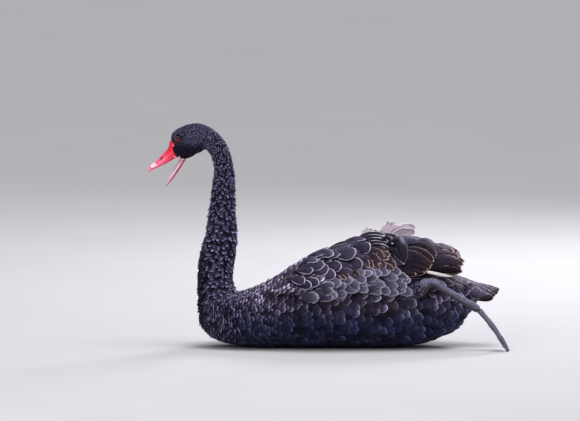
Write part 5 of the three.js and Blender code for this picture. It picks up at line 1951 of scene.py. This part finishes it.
def makeFoot(word, leg, skinLook, clawLook):
    foot, claw = leg["foot"], footPlan["claw"]
    parts, claws = [], []
    for toe in footPlan["toes"]:
        t = np.linspace(0, 1, 56)
        size = throughRows(footPlan["bulges"])(t)[:, 1] * toe["radius"]
        size = size * (1 + 0.035 * np.sin(t * 120))
        strand = strandRings(toeLine(foot, toe, t), size, sides=18, rows=56)
        parts.append((ringPoints(footPose(foot, strand)), ringFaces(*strand.shape[:2])))
        tip, before = toeLine(foot, toe, 1.0), toeLine(foot, toe, 0.97)
        ahead = unit(tip - before)
        u = np.linspace(-0.25, 1, 9)
        hook = np.array([0, 0, 1.0]) * (claw["hook"] * np.maximum(u, 0) ** 2)[:, None]
        arc = tip + ahead * (u * claw["length"])[:, None] - hook
        taper = claw["radius"] * (1.03 - np.clip(u, 0, 1)) ** 0.8
        claws.append(footPose(foot, strandRings(arc, taper, sides=12, rows=16)))
    hind = np.array(footPlan["hind"], float)
    strand = strandRings(hind[:, :3], hind[:, 3], sides=14, rows=30)
    parts.append((ringPoints(footPose(foot, strand)), ringFaces(*strand.shape[:2])))
    for first, second in zip(footPlan["toes"], footPlan["toes"][1:]):
        web, made = webSheet(foot, first, second)
        parts.append((footPose(foot, web), made))
    tipPoint = hind[-1, :3]
    arc = tipPoint + np.array([[1.5, 0, 0.4], [-2, 0, -0.6], [-5, 0.5, -2.2], [-7, 1, -5]])
    claws.append(footPose(foot, strandRings(arc, [1.3, 1.2, 0.8, 0.15], sides=10, rows=12)))
    skinPiece = meshObject(f"foot_skin_{word}", *joinParts(parts, outward=True), skinLook)
    clawPiece = joinRings(f"claws_{word}", claws, clawLook)
    for piece in (skinPiece, clawPiece):
        keepAboveFloor(piece)
    return skinPiece, clawPiece


# Web between two toes: a thin sheet that sags between them, with a hollowed hem
def webSheet(foot, first, second, rows=22, columns=14):
    t = np.linspace(0.02, 0.93, rows + 1)[:, None]
    c = np.linspace(0, 1, columns + 1)[None]
    hem = 1 - 0.16 * np.sin(c * math.pi) * t ** 4
    a, b = toeLine(foot, first, t[:, 0]), toeLine(foot, second, t[:, 0])
    top = a[:, None] * (1 - c[..., None]) + b[:, None] * c[..., None]
    top[..., 0] *= hem
    sag = np.sin(c * math.pi)
    top[..., 2] += -0.8 * sag * t + 0.35 * np.sin(c * math.pi * 7) * sag * t
    middle = footPlan["webThick"] * (1 - 0.55 * t) * np.ones_like(c)
    under = top.copy()
    under[..., 2] -= middle
    faces, inner = lensFaces(rows, columns)
    return np.vstack([top.reshape(-1, 3), under.reshape(-1, 3)[inner]]), faces


def shankRoots(finder, leg, plan):
    dice = np.random.default_rng(plan["seed"])
    limb = limbAlong(leg["shank"])
    wheres, turns = [], []
    for k, w in enumerate(np.arange(0.15, leg.get("bareFrom", 2.98), plan["rowStep"])):
        count = round(np.interp(w, [0, 3], [plan["around"], plan["around"] * 0.45]))
        places = np.arange(count) + 0.5 * (k % 2) + dice.uniform(-0.2, 0.2, count)
        turns.append(places / count * 2 * math.pi)
        wheres.append(np.full(count, w))
    where, turn = np.concatenate(wheres), np.concatenate(turns)
    size = np.interp(where, [0, 2, 3], plan["sizes"])
    at = limb(where, turn, -bodyPlan["coatDepth"]["shank"])
    lie = limb(where + 0.05, turn) - limb(where - 0.05, turn)
    around = np.arctan2(at[:, 2] - 100, at[:, 1])
    place = mapPlace("trunk", (around / (2 * math.pi)) % 1, (at[:, 0] - trunkStart) / trunkLength)
    return finishRoots(finder, at, lie, size, place, plan, dice)


# The small feathers of each part of the body

softShape = {"root": 0.5, "fullAt": 0.5, "roundFrom": 0.42, "tip": 0.3, "draw": 0.1, "cup": 0.1,
             "droop": 0.06, "thick": 0.02}
narrowShape = dict(softShape, roundFrom=0.3, tip=0.2, cup=0.16, droop=0.0)
broadShape = dict(softShape, root=0.45, roundFrom=0.55, tip=0.42, cup=0.12, droop=0.1, thick=0.012)

coatPlans = {
    "coat_head": {
        "kind": "neck", "seed": 3, "from": 2, "to": 78, "rowStep": 0.46, "columnStep": 0.5,
        "sizes": [(0, 2.5), (15, 3.2), (40, 4.0), (80, 5.0), (110, 6.4)], "limit": 3.2, "clump": 0.03,
        "clumpSteps": [(0, 3.0), (45, 3.6), (80, 4.8), (110, 6)], "clumpPull": 0.5, "clumpShade": 0.6,
        "clumpLift": 0.18,
        "rows": 3, "columns": 2, "shapes": [softShape, narrowShape], "look": "head",
        "inputs": {"Width": 0.72, "Lift": 0.3, "Lift spread": 0.08, "Turn spread": 0.14, "Seed": 11},
    },
    "coat_neck_upper": {
        "kind": "neck", "seed": 4, "from": 75, "to": 250, "rowStep": 0.4, "columnStep": 0.46,
        "sizes": [(75, 5.0), (110, 6.6), (150, 8.4), (220, 10.5), (300, 12), (446, 13)],
        "limit": 5, "clump": 0.06,
        "clumpSteps": [(60, 4.4), (110, 6), (170, 8), (260, 10), (446, 10.5)], "clumpPull": 0.75,
        "clumpShade": 0.92, "clumpLift": 0.4,
        "rows": 4, "columns": 4, "shapes": [softShape, narrowShape], "look": "neck",
        "inputs": {"Width": 0.62, "Lift": 0.14, "Lift spread": 0.08, "Turn spread": 0.14, "Seed": 12},
    },
    "coat_breast": {
        "kind": "trunk", "seed": 5, "from": -250.8, "to": -112, "turnsDeg": (0, 360), "fall": 0.2,
        "sizes": [(-251, 11), (-180, 12), (-112, 13.5)], "rowStep": 0.5, "columnStep": 0.6, "limit": 6,
        "clump": 0.08, "rows": 4, "columns": 4, "shapes": [softShape, broadShape], "look": "breast",
        "inputs": {"Width": 0.8, "Lift": 0.2, "Lift spread": 0.1, "Turn spread": 0.16, "Seed": 13},
    },
    "coat_back": {
        "kind": "trunk", "seed": 6, "from": -118, "to": 120, "turnsDeg": (38, 142), "fall": 0.0,
        "sizes": [(-118, 13), (-60, 20), (0, 30), (120, 36)], "rowStep": 0.5, "columnStep": 0.66,
        "limit": 4, "clump": 0.04, "rows": 6, "columns": 6, "shapes": [broadShape], "look": "body",
        "inputs": {"Width": 0.86, "Lift": 0.15, "Lift spread": 0.04, "Turn spread": 0.08, "Seed": 14},
    },
    "coat_flank_left": {
        "kind": "trunk", "seed": 7, "from": -118, "to": 262, "turnsDeg": (142, 240), "fall": 0.3,
        "sizes": [(-118, 13), (-60, 18), (0, 23), (60, 26), (150, 28), (262, 25)], "rowStep": 0.54,
        "columnStep": 0.66, "limit": 4, "clump": 0.05, "rows": 6, "columns": 6,
        "shapes": [broadShape], "look": "body",
        "inputs": {"Width": 0.86, "Lift": 0.17, "Lift spread": 0.06, "Turn spread": 0.12, "Seed": 15},
    },
    "coat_belly": {
        "kind": "trunk", "seed": 9, "from": -118, "to": 262, "turnsDeg": (238, 302), "fall": 0.0,
        "sizes": [(-118, 14), (262, 18)], "rowStep": 0.45, "columnStep": 0.52, "limit": 4,
        "clump": 0.02, "rows": 4, "columns": 4, "shapes": [softShape], "look": "breast",
        "inputs": {"Width": 0.8, "Lift": 0.08, "Lift spread": 0.03, "Turn spread": 0.1, "Seed": 17},
    },
    "coat_rump": {
        "kind": "trunk", "seed": 10, "from": 236, "to": 302, "turnsDeg": (0, 360), "fall": 0.0,
        "sizes": [(236, 27), (302, 23)], "rowStep": 0.5, "columnStep": 0.5, "limit": 5,
        "clump": 0.04, "rows": 6, "columns": 6, "shapes": [broadShape], "look": "body",
        "inputs": {"Width": 0.84, "Lift": 0.16, "Lift spread": 0.06, "Turn spread": 0.14, "Seed": 18},
    },
}
coatPlans["coat_neck_lower"] = dict(coatPlans["coat_neck_upper"], seed=44, **{"from": 250, "to": 468})
coatPlans["coat_flank_right"] = dict(coatPlans["coat_flank_left"], seed=8, turnsDeg=(-60, 38))

wingCoatPlan = {
    "from": -116, "to": 12, "sizes": [(-116, 13), (-84, 16), (-60, 20), (-30, 25), (0, 29), (20, 32)],
    "rowStep": 0.5, "columnStep": 0.66, "fall": 0.03, "limit": 4, "clump": 0.03, "rows": 6, "columns": 6,
    "shapes": [broadShape], "seed": 21,
    "inputs": {"Width": 0.86, "Lift": 0.17, "Lift spread": 0.04, "Turn spread": 0.09, "Seed": 19},
}
shankCoatPlan = {
    "rowStep": 0.045, "around": 44, "sizes": [14, 9, 6.5], "seed": 31, "limit": 3.5, "clump": 0.05,
    "rows": 4, "columns": 4, "shapes": [softShape, narrowShape],
    "inputs": {"Width": 0.6, "Lift": 0.1, "Lift spread": 0.06, "Turn spread": 0.12, "Seed": 33},
}

placeCamera()
placeLights()
placeFloor()
print("stage: camera, lights and floor")

tones = plumageTones()
looks = {
    "head": coatMaterial("headFeathers", tones, 0.12, 1.05, tipFrom=0.3),
    "neck": coatMaterial("neckFeathers", tones, 0.14, 1.0, tipFrom=0.3),
    "breast": coatMaterial("breastFeathers", tones, 0.13, 0.72, tipFrom=0.5),
    "body": coatMaterial("bodyFeathers", tones, 0.1, 0.6, tipFrom=0.55, barbs=14.0),
    "shank": coatMaterial("shankFeathers", tones, 0.1, 0.3, tipFrom=0.6),
    "mantle": coatMaterial("mantleFeathers", tones, 0.08, 1.15, tipFrom=0.55, barbs=14.0),
}
vanes = {name: vaneMaterial(name) for name in vaneLooks}
skin = makeSkin(skinMaterial(tones))
finder = SkinFinder(skin)
print(f"stage: skin, {len(skin.data.polygons)} faces")

pieces = {slot: [] for slot in ("body_plumage", "neck_plumage", "wing_plumage", "tail_plumage", "bill",
                                "mouth_skin", "eye", "leg_skin")}
pieces["body_plumage"].append(skin)
for name, plan in coatPlans.items():
    grow = neckRoots if plan["kind"] == "neck" else trunkRoots
    slot = "neck_plumage" if plan["kind"] == "neck" else "body_plumage"
    pieces[slot].append(growCoat(name, grow(finder, plan), plan, looks[plan["look"]]))
for word, leg in legPlan.items():
    roots = shankRoots(finder, leg, shankCoatPlan)
    pieces["body_plumage"].append(growCoat(f"coat_shank_{word}", roots, shankCoatPlan, looks["shank"]))
for side, name in ((-1, "coat_wing_left"), (1, "coat_wing_right")):
    roots = wingRoots(finder, side, wingCoatPlan)
    pieces["wing_plumage"].append(growCoat(name, roots, wingCoatPlan, looks["mantle"]))
print("stage: small feathers")

wings = {side: wingVanes(side, vanes) for side in (-1, 1)}
pieces["wing_plumage"] += wings[-1] + wings[1]
tail = tailVanes(vanes)
pieces["tail_plumage"] += tail
print("stage: wings and tail")

upper = billPiece("bill_upper_horn", upperBill, True, upperBillMaterial())
lower = billPiece("bill_lower_horn", lowerBill, False, lowerBillMaterial())
tongue = makeTongue(mouthMaterial("tongueSkin", (0.92, 0.72, 0.78, 1), (0.84, 0.54, 0.62, 1)))
gape = makeGape(mouthMaterial("gapeSkin", (0.80, 0.48, 0.50, 1), (0.62, 0.26, 0.30, 1)))
lore = makeLore(finder, lidMaterial())
lids = loopObject("eye_lids", [lidRings(side) for side in (-1, 1)], lidMaterial())
eyeLook = eyeMaterial()
eyes = [makeEye(side, eyeLook) for side in (-1, 1)]
pieces["bill"] += [upper, lower]
pieces["mouth_skin"] += [tongue, gape, lore, lids]
pieces["eye"] += eyes
print("stage: bill, mouth and eyes")

legLook, clawLook = legMaterial(), clawMaterial()
tarsi, feet = {}, {}
for word, leg in legPlan.items():
    tarsi[word] = makeTarsus(word, leg, legLook)
    feet[word] = makeFoot(word, leg, legLook, clawLook)
    pieces["leg_skin"] += [tarsi[word], *feet[word]]
print("stage: legs and feet")

for slot, made in pieces.items():
    for piece in made:
        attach(piece, "root")
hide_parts("torso", "neck_base", "neck_lower", "neck_middle", "neck_upper", "head",
            "shank_left", "shank_right")
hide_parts("wing_left")
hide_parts("wing_right")
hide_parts("tail")
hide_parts("bill_upper")
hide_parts("bill_lower")
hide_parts("tongue")
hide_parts("eye_left")
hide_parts("eye_right")
for word in legPlan:
    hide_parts(f"tarsus_{word}")
    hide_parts(f"foot_{word}")
